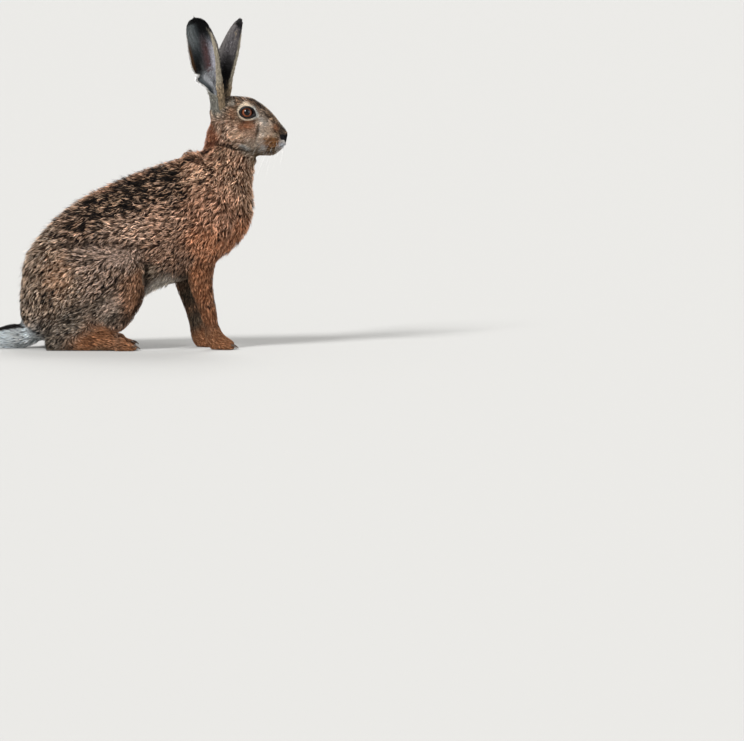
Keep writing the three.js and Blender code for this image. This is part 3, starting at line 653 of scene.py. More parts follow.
def marked(points, colours):
    """The blended colours with the crisp markings put in: spots (a few of them painted shade), the painted shade of
    the folds, the eye ring (greyer in front as painted shade), tail, mouth and nose (black partly as painted shade
    in the nostrils).
    """
    x, y, z = halved(points).T
    root, band, tip, black = colours[:, 0:3], colours[:, 3:6], colours[:, 6:9], colours[:, 9]

    def paint(rgb, mask):
        nonlocal root, band, tip, black
        root, band, tip = (mix(c, rgb * s, mask) for c, s in ((root, 0.7), (band, 0.85), (tip, 1.0)))
        black = black * (1 - mask)

    def within(middle_x, middle_z, reach_x, reach_z, turn):
        c, s = math.cos(math.radians(turn)), math.sin(math.radians(turn))
        dx, dz = x - middle_x, z - middle_z
        return np.exp(-((((dx * c + dz * s) / reach_x) ** 2 + ((dz * c - dx * s) / reach_z) ** 2) ** 1.3))

    on_head = (x > 140) & (z > 322)
    side = smoothstep(y, 4, 9)
    broken = 0.6 + 0.8 * noise(points, 4.5, 11)
    for *oval, rgb, strength, is_middle in SPOTS:
        mask = within(*oval) * strength * broken * on_head * (1 if is_middle else side)
        paint(linear(rgb), np.clip(mask, 0, 1))
    outer_side = smoothstep(y, 20, 32) * (x < 190)
    for *oval, rgb, strength in BODY_SPOTS:
        paint(linear(rgb), np.clip(within(*oval) * strength * broken * outer_side, 0, 1))

    paint(RISE_DARK, mound(points, *RISE_DARK_AT))
    pad = within(*WHISKER_PAD) * on_head * side
    paint(PAD_SPECKLE, 0.75 * pad * smoothstep(noise(points, 2.6, 21), 0.52, 0.66))
    patchy = np.exp(0.9 * (noise(points, 6, 19) - 0.5) * on_head)[:, None]
    band, tip = band * patchy, tip * patchy
    # Painted shade in the folds.
    paint(FOLD_SHADE, folded(points)[1] * (0.6 + 0.6 * noise(points, 6, 13)).clip(0, 1))

    ring, turn = eye_distance(points), eye_turn(points)
    outer = np.interp(turn, RING_TURN, RING_SHARE)
    # The pale ring round the eye, greyer at the front as painted shade.
    shaded_front = smoothstep(turn, -70, -20) * smoothstep(turn, 70, 40)
    paint(mix(EYE_RING, EYE_RING_SHADED_FRONT, shaded_front), smoothstep(ring, outer + 0.12, outer - 0.1) * (x > 158))

    tail = smoothstep(x, -192, -204) * smoothstep(z, 74, 62)
    rise = z - np.interp(x, TAIL_BLACK_X, TAIL_BLACK_Z)
    paint(TAIL_TOP, tail * smoothstep(rise, -1.0, 1.5) * smoothstep(y, 20, 14))

    mouth = bell(mouth_gap(points), 0, 1.1) * (x > 212) * (1 - 0.5 * smoothstep(x, 240, 246))
    paint(MOUTH_DARK, mouth)
    cleft = bell(y, 0, 1.1) * (x > 240) * smoothstep(z, 345, 348) * smoothstep(z, 356, 353)
    paint(CLEFT_DARK, cleft)
    # The nose: dark brown in the middle and black at the sides, partly painted shade in the nostrils.
    paint(mix(NOSE_MIDDLE, NOSE_BLACK, smoothstep(y, 2.5, 5.5)), nose_black(points))
    return root, band, tip, black


# ---------------------------------------------------------------- the skin
FLESH = [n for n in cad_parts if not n.endswith(("_ear", "_eye"))]


def joined_flesh():
    """The solids of the flesh in one mesh, each grown a little so that the gaps between them close."""
    whole = bmesh.new()
    for name in FLESH:
        part = bmesh.new()
        part.from_mesh(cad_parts[name].data)
        bmesh.ops.remove_doubles(part, verts=part.verts, dist=1e-6)
        part.normal_update()
        for v in part.verts:
            v.co += v.normal * GAP_CLOSER / 1000
        step = bpy.data.meshes.new("step")
        part.to_mesh(step)
        part.free()
        whole.from_mesh(step)
        bpy.data.meshes.remove(step)
    me = bpy.data.meshes.new("flesh")
    whole.to_mesh(me)
    whole.free()
    return me


def remeshed(me, voxel_mm):
    obj = link(bpy.data.objects.new("remesh", me))
    modifier = obj.modifiers.new("remesh", "REMESH")
    modifier.mode = "VOXEL"
    modifier.voxel_size = voxel_mm / 1000
    bpy.context.view_layer.update()
    made = bpy.data.meshes.new_from_object(obj.evaluated_get(bpy.context.evaluated_depsgraph_get()))
    bpy.data.objects.remove(obj)
    return made


def keep_largest(me):
    """Leaves only the largest connected part of the mesh."""
    with editing(me) as bm:
        bm.verts.ensure_lookup_table()
        seen = np.zeros(len(bm.verts), bool)
        best = []
        for start in bm.verts:
            if seen[start.index]:
                continue
            seen[start.index] = True
            island, front = [start], [start]
            while front:
                v = front.pop()
                for w in (e.other_vert(v) for e in v.link_edges):
                    if not seen[w.index]:
                        seen[w.index] = True
                        island.append(w)
                        front.append(w)
            best = max(best, island, key=len)
        kept = set(best)
        bmesh.ops.delete(bm, geom=[v for v in bm.verts if v not in kept], context="VERTS")
    return me


def vertices_mm(me):
    return to_mm(read(me.vertices, "co", 3, np.float32))


def put_vertices(me, points_mm):
    me.vertices.foreach_set("co", to_metres(points_mm).astype(np.float32).ravel())
    me.update()


def edges_of(me):
    return read(me.edges, "vertices", 2)


def triangles_of(me):
    me.calc_loop_triangles()
    return read(me.loop_triangles, "vertices", 3), read(me.loop_triangles, "loops", 3)


def around(values, edges, count):
    """The mean of each vertex's neighbours."""
    a, b = edges.T
    degree = np.bincount(a, minlength=count) + np.bincount(b, minlength=count)
    flat = values.reshape(count, -1)
    total = np.stack(
        [np.bincount(a, c[b], count) + np.bincount(b, c[a], count) for c in flat.T], axis=1
    )
    return (total / np.maximum(degree, 1)[:, None]).reshape(values.shape)


def relaxed(values, edges, rounds, share=0.5, where=None):
    for _ in range(rounds):
        step = (around(values, edges, len(values)) - values) * share
        values = values + (step if where is None else step * where[:, None])
    return values


def taubin(values, edges, rounds):
    """Smooths without shrinking."""
    for _ in range(rounds):
        values = values + (around(values, edges, len(values)) - values) * 0.5
        values = values - (around(values, edges, len(values)) - values) * 0.52
    return values


def normals_of(points, triangles):
    a, b, c = (points[triangles[:, k]] for k in range(3))
    face = np.cross(b - a, c - a)
    total = np.stack(
        [sum(np.bincount(triangles[:, k], f, len(points)) for k in range(3)) for f in face.T], axis=1
    )
    return unit(total)


def refine(me, wanted):
    """Splits the faces whose middle is in wanted, a test of points in millimetres, into four."""
    with editing(me) as bm:
        chosen = wanted(to_mm(np.array([f.calc_center_median() for f in bm.faces])))
        bm.faces.ensure_lookup_table()
        edges = {e for f in bm.faces if chosen[f.index] for e in f.edges}
        bmesh.ops.subdivide_edges(bm, edges=list(edges), cuts=1, use_grid_fill=True)


def near_eye(reach):
    return lambda p: np.linalg.norm(halved(p) - (EYE + [1, 4, 0]), axis=1) < reach


def near_muzzle(x):
    return lambda p: (p[:, 0] > x) & (p[:, 2] > 322)


def shaped(points):
    """The head's larger forms that its solids leave blunt: the narrow nose, the lips and the rims of the orbits."""
    x, y, z = halved(points).T
    nose = smoothstep(x, 231, 243) * smoothstep(z, 346, 354) * smoothstep(z, 386, 374)
    lips = smoothstep(x, 233, 244) * smoothstep(z, 326, 336) * smoothstep(z, 354, 346)
    narrow = 1 - 0.42 * nose - 0.26 * lips
    ring = eye_distance(points)
    level = EYE[1] + np.interp(ring, ORBIT_RING, ORBIT_LEVEL)
    raised = (y + level + np.hypot(y - level, 1.5)) / 2
    deep = np.where(ring < SOCKET, np.minimum(y, level), raised)
    near = (ring < ORBIT_RING[-1]) & (x > 150) & (z > 370) & (y > 3)
    wide = np.where(near, deep, y) * narrow
    return np.stack([points[:, 0], np.copysign(wide, points[:, 1]), points[:, 2]], 1)


def sculpted(points, normals):
    """The finer forms of the head: the mouth and lips, the nostrils with their wings, and the cleft."""
    x, y, z = halved(points).T
    gap, front = mouth_gap(points), smoothstep(x, 212, 218)
    above = (z > np.interp(x, MOUTH_LINE[::-1, 0], MOUTH_LINE[::-1, 1])) & (gap < 6)
    dx, dy, dz = (halved(points) - NOSTRIL).T
    nostril = bell(dx, 0, 4.0) * bell(dy, 0, 2.8) * bell(dz - 0.3 * dy, 0, 1.9)
    wing = bell(dx, 0, 5) * bell(dy, 0, 4) * bell(dz, 4, 2.2)
    cleft = bell(y, 0, 0.9) * smoothstep(z, 344, 347) * smoothstep(z, 364, 361)
    push = -2.4 * bell(gap, 0, 1.0) * front * (1 - 0.5 * smoothstep(x, 240, 246))
    push += 0.8 * bell(gap, 2.6, 1.5) * front * above
    push += 1.6 * bell(z, 364, 11) * smoothstep(x, 234, 244)
    push += 1.1 * bell(y, 5, 3.2) * bell(z, 350, 4) * smoothstep(x, 238, 244)
    push += 1.0 * wing - 3.4 * nostril - 2.2 * cleft * smoothstep(x, 238, 242)
    return points + normals * push[:, None]


def build_skin():
    """One skin, inside the solids by the depth of the coat, finer about the muzzle and the eyes."""
    me = keep_largest(remeshed(joined_flesh(), SKIN_VOXEL))
    edges = edges_of(me)
    points = taubin(vertices_mm(me), edges, 5)
    triangles, _ = triangles_of(me)
    normals = unit(relaxed(normals_of(points, triangles), edges, 4))
    depth = fields(points)[1]["depth"] * np.where(nose_black(points) > 0.3, 0.3, 1)
    depth = np.where(points[:, 2] < SOLE_LEVEL, np.minimum(depth, SOLE_COAT), depth)
    points = points - normals * (depth + folded(points)[0])[:, None]
    for place, reach, height, paired in HUMPS:
        p = halved(points) if paired else points
        points = points + normals * (height * mound(p, place, reach))[:, None]
    points = relaxed(points, edges, 3, 0.4)
    points[:, 2] = np.maximum(points[:, 2], SOLE_LEVEL)
    put_vertices(me, relaxed(shaped(points), edges, 2, 0.3))

    refine(me, lambda p: near_muzzle(206)(p) | near_eye(24)(p))
    refine(me, lambda p: near_muzzle(211)(p) & ((mouth_gap(p) < 5) | (p[:, 0] > 236)))
    edges = edges_of(me)
    points = vertices_mm(me)
    where = (near_muzzle(200)(points) | near_eye(30)(points)).astype(float)
    points = relaxed(points, edges, 4, 0.5, where)
    triangles, _ = triangles_of(me)
    points = sculpted(points, unit(relaxed(normals_of(points, triangles), edges, 2)))
    points = relaxed(points, edges, 1, 0.3, where)
    put_vertices(me, points)

    me.name = "skin"
    smooth(me)
    skin = link(bpy.data.objects.new("skin", me))
    unwrap(skin)
    root, band, _, _ = marked(points, fields(points)[2])
    shade = mix(root, band, np.full(len(root), 0.5)) * 0.62
    set_colour(me, "Coat", mix(shade, NOSE_BLACK, nose_black(points)))
    me.materials.append(SKIN)
    return skin


def unwrap(obj):
    for other in bpy.context.selected_objects:
        other.select_set(False)
    bpy.context.view_layer.objects.active = obj
    obj.select_set(True)
    obj.data.uv_layers.new(name="OFBake")
    bpy.ops.object.mode_set(mode="EDIT")
    bpy.ops.mesh.select_all(action="SELECT")
    bpy.ops.uv.smart_project(angle_limit=math.radians(70), island_margin=0.004)
    bpy.ops.object.mode_set(mode="OBJECT")
    obj.select_set(False)


# ---------------------------------------------------------------- tufts
ALONG = np.array([0.0, 0.55, 1.0])


class Tufts:
    """Roots of tufts on a surface: places, normals, lie, bending of the surface and bake positions."""

    def __init__(self, at, normal, lie, bend, uv):
        self.at, self.normal, self.bend, self.uv = at, unit(normal), bend, uv
        self.lie = unit(lie - self.normal * (lie * self.normal).sum(1, keepdims=True))

    def __len__(self):
        return len(self.at)

    def arrays(self):
        return self.at, self.normal, self.lie, self.bend, self.uv

    def some(self, chosen):
        return Tufts(*(values[chosen] for values in self.arrays()))

    def turned(self, angle):
        side = np.cross(self.normal, self.lie)
        self.lie = self.lie * np.cos(angle)[:, None] + side * np.sin(angle)[:, None]


def tuft_mesh(name, t, length, width, lift, colours, gather=None, sway=None):
    """One closed tapering tuft of three sides to each root, as arrays. colours is (tufts, 3, 3)."""
    n = len(t)
    side = np.cross(t.normal, t.lie)
    rings = []
    for k, s in enumerate(ALONG):
        angle = np.clip(t.bend * length * s, -1.2, 1.2)
        run = length * s * np.sinc(angle / np.pi)
        sink = length * s * np.where(np.abs(angle) > 1e-4, (1 - np.cos(angle)) / np.where(angle == 0, 1, angle), 0)
        up = t.normal * np.cos(angle)[:, None] + t.lie * np.sin(angle)[:, None]
        height = lift * (1 - (1 - s) ** 1.7) - 0.5 * (k == 0)
        centre = t.at + t.lie * run[:, None] - t.normal * sink[:, None] + up * height[:, None]
        if gather is not None:
            centre = centre + gather * s**1.5
        if sway is not None:
            centre = centre + side * (sway * s * s)[:, None]
        if k == 2:
            rings.append(centre[:, None])
            continue
        breadth = width * (0.8, 1.0)[k]
        thick = breadth * 0.45
        corners = [
            centre - side * (breadth / 2)[:, None] - up * (thick * 0.3)[:, None],
            centre + side * (breadth / 2)[:, None] - up * (thick * 0.3)[:, None],
            centre + up * (thick * 0.7)[:, None],
        ]
        rings.append(np.stack(corners, 1))
    points = np.concatenate(rings, axis=1)
    points[..., 2] = np.maximum(points[..., 2], FLOOR_CLEARANCE)
    quads = [[k, (k + 1) % 3, 3 + (k + 1) % 3, 3 + k] for k in range(3)]
    tris = [[2, 1, 0]] + [[3 + k, 3 + (k + 1) % 3, 6] for k in range(3)]
    base = np.arange(n)[:, None] * 7
    corners = np.concatenate([(base + np.array(quads).ravel()), (base + np.array(tris).ravel())], axis=1).ravel()
    me = mesh_from(name, points.reshape(-1, 3), corners, np.tile([4] * 3 + [3] * 4, n))
    ring_of = np.array([0, 0, 0, 1, 1, 1, 2])
    set_colour(me, "Coat", colours[:, ring_of].reshape(-1, 3))
    across = np.array([-1, 1, 0.2, -1, 1, 0.2, 0])
    fineness = (width * 1.6)[:, None]
    along = np.tile(ALONG[ring_of] * 1.3, (n, 1))
    strand = np.stack([across * fineness, along, np.tile(rng.random((n, 1)) * 400, 7)], -1)
    set_vector(me, "Strand", strand.reshape(-1, 3))
    patch = np.stack([across, ALONG[ring_of] * 2 - 1], -1) * 0.0015
    set_uv(me, (t.uv[:, None] + patch[None]).reshape(-1, 2))
    me.materials.append(COAT)
    return me


def place_piece(me):
    obj = link(bpy.data.objects.new(me.name, me))
    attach(obj, "root")
    return obj


def bend_field(points, normals, lie, edges):
    """How fast the surface turns along the lie at each vertex, in radians to a millimetre."""
    a, b = edges.T
    way = points[b] - points[a]
    turn = normals[b] - normals[a]
    n = len(points)
    top, bottom = np.zeros(n), np.zeros(n)
    for one in (a, b):
        run = (way * lie[one]).sum(1)
        change = (turn * lie[one]).sum(1)
        top += np.bincount(one, run * change, n)
        bottom += np.bincount(one, run * run, n)
    return top / np.maximum(bottom, 1e-3)


def sample_roots(skin):
    """Even random roots over the skin, as dense as the coat's fields ask."""
    me = skin.data
    points, edges = vertices_mm(me), edges_of(me)
    triangles, loops = triangles_of(me)
    normals = unit(relaxed(normals_of(points, triangles), edges, 3))
    lie, _, _ = fields(points)
    flat = unit(lie - normals * (lie * normals).sum(1, keepdims=True))
    bend = np.clip(relaxed(bend_field(points, normals, flat, edges), edges, 6), -0.05, 0.09)
    uv = read(me.uv_layers["OFBake"].data, "uv", 2, np.float32)
    a, b, c = (points[triangles[:, k]] for k in range(3))
    area = np.linalg.norm(np.cross(b - a, c - a), axis=1) / 2
    middle = points[triangles].mean(1)

    in_mouth = (mouth_gap(middle) < 0.9) & (middle[:, 0] > 213)
    bare = in_mouth | (eye_distance(middle) < 1.02) | (nose_black(middle) > 0.5)
    density = fields(middle)[1]["density"] / 100 * np.where(bare, 0, 1)
    density *= np.where(middle[:, 2] < SOLE_TOP, 0.25, 1)
    order = np.argsort(morton(middle))
    total = np.concatenate([[0.37], 0.37 + np.cumsum((area * density)[order])])
    face = np.repeat(order, np.diff(np.floor(total)).astype(int))

    u, v = rng.random(len(face)), rng.random(len(face))
    over = u + v > 1
    u[over], v[over] = 1 - u[over], 1 - v[over]
    share = np.stack([1 - u - v, u, v], 1)[..., None]
    pick = lambda values: (values[triangles[face]] * share).sum(1)
    bake = (uv[loops[face]] * share).sum(1)
    return Tufts(pick(points), pick(normals), pick(lie), pick(bend[:, None])[:, 0], bake)


def morton(points):
    """A sorting key that keeps neighbours together."""
    q = ((points - points.min(0)) / 2.0).astype(np.int64)
    key = np.zeros(len(q), np.int64)
    for bit in range(10):
        for axis in range(3):
            key |= ((q[:, axis] >> bit) & 1) << (3 * bit + axis)
    return key


def locks(roots, spacing):
    """Groups roots into locks, longer along the lie than across it.

    Returns each root's lock, its offset across the lock and how central it is, from 0 to 1.
    """
    count = max(8, int(len(roots) / spacing))
    middles = rng.choice(len(roots), count, replace=False)
    tree = KDTree(count)
    for i, m in enumerate(middles):
        tree.insert(roots.at[m], i)
    tree.balance()
    near = np.array([[hit[1] for hit in tree.find_n(p, 5)] for p in roots.at])
    offset = roots.at[:, None] - roots.at[middles][near]
    along = (offset * roots.lie[middles][near]).sum(-1)
    across = np.maximum((offset**2).sum(-1) - along**2, 0)
    best = (across + (along / 2.0) ** 2).argmin(1)
    one = np.arange(len(roots))
    lock, offset = near[one, best], offset[one, best]
    aside = offset - roots.lie * (offset * roots.lie).sum(1, keepdims=True)
    away = np.linalg.norm(aside, axis=1)
    typical = np.bincount(lock, away, count) / np.maximum(np.bincount(lock, minlength=count), 1)
    return lock, aside, 1 - np.clip(away / np.maximum(typical[lock] * 2, 0.3), 0, 1)


def coat_colours(lock, height, central, black_hair, colours, contrast):
    """Root-to-tip colours of each tuft: pale tips over a darker band, or black throughout. Low tufts, the edges of
    locks and the roots are darkened as painted shade.
    """
    root, band, tip, _ = colours
    n = len(lock)
    lock_tone = rng.normal(0, 1, lock.max() + 1)[lock]
    # Besides random tone, tufts at the edges of their lock are darker: painted shade between the locks.
    tone = np.exp(contrast * (0.3 * lock_tone + 0.22 * rng.normal(0, 1, n) + 0.2 * (central - 0.5)))[:, None]
    warm = 1 + 0.05 * rng.normal(0, 1, (n, 1)) * np.array([1, 0, -1])
    # Low tufts, and those at the edges of a lock, show less of the pale tip: painted shade under the top of the
    # coat.
    lit_tip_share = 0.6 + (smoothstep(height + 0.5 * (central - 0.5), -0.7, 1.1) - 0.6) * contrast * 0.9
    tip = mix(band * 0.8, tip, lit_tip_share) * tone * warm
    band = band * tone
    # The roots are darkened further, as painted shade deep in the coat.
    deep = root * (0.5 + 0.5 * root.mean(1, keepdims=True))
    made = np.stack([deep, mix(band, tip, np.full(n, 0.4)), tip], 1)
    black = BLACK_HAIR * np.exp(0.3 * rng.normal(0, 1, (n, 1)))
    dark = np.stack([deep * 0.6, black, black], 1)
    return np.where(black_hair[:, None, None], dark, made)


def build_body_coat(skin):
    """The tufts of the body: their lie, size, lift and colour, in pieces of neighbours."""
    roots = sample_roots(skin)
    n = len(roots)
    x, _, z = roots.at.T
    _, sizes, colours = fields(roots.at)
    depth = sizes["depth"]
    colours = marked(roots.at + roots.lie * (0.55 * sizes["length"])[:, None], colours)
    black = colours[3]
    lock, aside, central = locks(roots, 5)
    each_lock = lambda spread: rng.normal(0, spread, lock.max() + 1)[lock]

    # How far each tuft belongs to the deep coat, the tail, the cheek, the rise behind the neck and the back's top.
    body = smoothstep(depth, 3.5, 8)
    tail = smoothstep(x, -188, -204) * smoothstep(z, 74, 56)
    from_eye = eye_distance(roots.at)
    cheek = smoothstep(x, 136, 144) * smoothstep(x, 210, 200) * smoothstep(z, 334, 342)
    cheek *= smoothstep(from_eye, 1.5, 2.2)
    hump = mound(roots.at, *RISE_COAT_AT)
    top = smoothstep(roots.normal[:, 2], 0.35, 0.8) * smoothstep(z, 180, 230) * (1 - hump)

    loose = (0.4 + 0.6 * body) * (1 - 0.75 * tail)
    roots.turned(loose * (each_lock(0.3) + rng.normal(0, 0.16, n)))
    roots.turned((noise(roots.at, 18, 3) - 0.5) * 1.1 * body * (1 - tail))
    roots.turned((noise(roots.at, 7, 23) - 0.5) * 1.6 * cheek)
    chance = black * np.exp(0.9 * each_lock(1.0) * (black > 0.02) + 0.8 * (noise(roots.at, 16, 5) - 0.5))
    black_hair = rng.random(n) < chance * 0.85
    # Each tuft's height in the coat sets its lift, and low tufts are coloured darker as painted shade.
    height = 0.45 * rng.normal(0, 1, n) + each_lock(0.85)
    length = sizes["length"] * (1 - 0.3 * hump) * np.exp(rng.normal(0, 0.16, n)) * np.where(black_hair, 1.06, 1)
    length *= 0.45 + 0.55 * smoothstep(from_eye, 1.0, 1.9)
    width = sizes["width"] * rng.uniform(0.5, 1.05, n)
    lift = depth * np.clip(0.78 + 0.17 * height * loose, 0.3, 1.15)
    lift += top * (0.4 + 1.2 * rng.random(n)) * (1 + body)
    lift *= 1 - 0.35 * hump

    # A few single hairs stand out from the deep coat, thinner and mostly black.
    stray = (rng.random(n) < 0.035 + 0.04 * top) & (depth > 8) & (tail < 0.5) & (x < 62)
    lift = np.where(stray, depth * rng.uniform(1.2, 1.7, n), lift)
    width = np.where(stray, width * 0.5, width)
    black_hair = np.where(stray & (z > 190), rng.random(n) < 0.75, black_hair)

    gather = -aside * (0.65 * body + 0.2)[:, None]
    sway = rng.normal(0, 0.09, n) * length * loose
    contrast = (0.75 + 0.25 * smoothstep(depth, 1.5, 4)) * (1 - 0.7 * tail)
    shades = coat_colours(lock, height, central, black_hair, colours, contrast)
    order = np.argsort(morton(roots.at))
    for i, part in enumerate(np.array_split(order, math.ceil(n / TUFTS_PER_PIECE))):
        own = (values[part] for values in (length, width, lift, shades, gather, sway))
        place_piece(tuft_mesh(f"coat_{i + 1:02d}", roots.some(part), *own))


# ---------------------------------------------------------------- ears
EARS = {
    "right": dict(side=-1, base=(133, -15, 412), tip=(93.5, -47, 563), facing=-93, bow=1),
    "left": dict(side=1, base=(138, 15, 412), tip=(170, 46, 558.5), facing=21, bow=8),
}
EAR_HALF_WIDTH = (
    (0, 12), (0.126, 12.7), (0.195, 13.6), (0.24, 15), (0.27, 17.4), (0.31, 20.2), (0.36, 22), (0.425, 24.2),
    (0.54, 26.3), (0.655, 26.1), (0.77, 24), (0.885, 20.7), (0.954, 16), (0.985, 11.5), (1, 6),
)
EAR_DEPTH = ((0, 11), (0.3, 15), (0.55, 17), (0.8, 12), (0.94, 7), (1, 3))
EAR_ROLLED = (
    (0, 172), (0.195, 172), (0.31, 152), (0.42, 142), (0.54, 136), (0.71, 132), (0.85, 114), (0.95, 98), (1, 84),
)
EAR_LATERAL = (
    (0, 188), (0.13, 184), (0.185, 140), (0.23, 104), (0.3, 90), (0.345, 82), (0.38, 52), (0.415, 80), (0.47, 88),
    (0.66, 84), (1, 74),
)
EAR_LOBE = 0.333
EAR_THICKNESS = ((0, 7), (0.16, 3), (0.34, 1.5), (0.8, 1.1), (1, 0.7))
EAR_ASIDE = ((0, 0), (0.2, -3.8), (0.32, 0), (0.44, 1), (0.7, -0.7), (1, 0))
EAR_COAT = 0.6
EAR_FOOT = 0.08  # the share of the length by which the ear runs on into the head
EAR_SLATE, EAR_BACK = (66, 72, 75), (108, 104, 103)
EAR_BLACK, EAR_BUFF, EAR_CREAM = (12, 12, 14), (170, 161, 143), (206, 202, 196)
# The layers of the ear's hair: tufts, face (0 outside and 1 inside), length, width, lift, where they stand along
# and across the ear, how far they lean across, and their colour where it isn't the ear's own.
EAR_HAIR = (
    (3600, 0.0, 4.5, 0.8, 0.8, (0.1, 1.0), (0, 1), 0.0, None),
    (900, 0.0, 7.0, 0.8, 1.5, (-0.07, 0.2), (0, 1), 0.0, None),
    (2400, 1.0, 4.0, 0.6, 0.45, (0.1, 1.0), (0, 1), 0.0, None),
    (800, 1.0, 10.0, 0.42, 5.0, (0.2, 0.7), (0.76, 0.96), -1.3, (200, 197, 202)),
    (420, 1.0, 6.0, 0.45, 2.6, (0.16, 0.78), (0.94, 1.0), -1.0, (186, 176, 158)),
    (200, 1.0, 8.0, 0.5, 1.8, (0.6, 0.82), (0.82, 0.96), -1.0, (156, 140, 116)),
    (160, 1.0, 9.0, 0.45, 1.2, (0.18, 0.4), (0.34, 0.46), 0.1, (158, 160, 164)),
    (220, 1.0, 4.0, 0.5, 0.8, (0.42, 0.8), (0.0, 0.02), -0.8, (214, 212, 208)),
    (300, 0.0, 5.0, 0.55, 0.9, (0.22, 0.37), (0.0, 0.06), -0.9, (244, 244, 244)),
    (300, 0.0, 4.5, 0.6, 0.8, (0.9, 1.0), (0.0, 1.0), 0.0, (20, 17, 16)),
)


def profile(stops, t):
    """A smooth curve through stops of (share of the length, value) that never overshoots them."""
    s, v = np.array(stops, float).T
    step = np.diff(v) / np.diff(s)
    both, total = step[:-1] * step[1:], step[:-1] + step[1:]
    inner = np.where(both > 0, 2 * both / np.where(total == 0, 1, total), 0)
    slope = np.concatenate([step[:1], inner, step[-1:]])
    i = np.clip(np.searchsorted(s, t), 1, len(s) - 1)
    h = s[i] - s[i - 1]
    x = np.clip((t - s[i - 1]) / h, 0, 1)
    ends = v[i - 1] * (1 + 2 * x) * (1 - x) ** 2 + v[i] * x * x * (3 - 2 * x)
    return ends + h * x * (1 - x) * (slope[i - 1] * (1 - x) - slope[i] * x)


def ear_frame(side, base, tip, facing):
    foot, axis = np.array(base, float), np.array(tip, float) - base
    up = axis / np.linalg.norm(axis)
    way = np.array([math.cos(math.radians(facing)), math.sin(math.radians(facing)), 0])
    facing_way = unit(way - up * (way @ up))
    medial = np.cross(up, facing_way) * -side
    return foot, axis, facing_way, medial


def ear_angle(t, u):
    """The angle round the ear's section, in radians, from the lateral edge (u = 0) to the medial one (u = 1)."""
    start, end = -np.radians(profile(EAR_LATERAL, t)), np.radians(profile(EAR_ROLLED, t))
    return start + (end - start) * u


def ear_surface(spec, t, u, inset):
    """Points of the ear's sheet. t runs from base to tip and u from the lateral edge to the medial one."""
    foot, axis, facing_way, medial = ear_frame(spec["side"], spec["base"], spec["tip"], spec["facing"])
    angle = ear_angle(t, u)
    rounded = np.sqrt(np.clip(1 - (np.minimum(t, 0) / EAR_FOOT) ** 2, 0, 1))
    half = (profile(EAR_HALF_WIDTH, t) - EAR_COAT) * rounded
    half = half * (1 + 0.13 * bell(t, EAR_LOBE, 0.028) * (angle < 0))
    depth = (profile(EAR_DEPTH, t) - EAR_COAT) * rounded
    edge = np.minimum(u, 1 - u)
    thick = profile(EAR_THICKNESS, t) * (0.35 + 0.65 * smoothstep(edge, 0, 0.06))
    give = inset * np.minimum(thick, depth * 0.8)
    along = foot + axis * t[..., None] - facing_way * (spec["bow"] * 4 * t * (1 - t))[..., None]
    return (
        along
        + medial * ((half - give) * np.sin(angle) - profile(EAR_ASIDE, t))[..., None]
        - facing_way * ((depth - give * 0.95) * np.cos(angle))[..., None]
    )


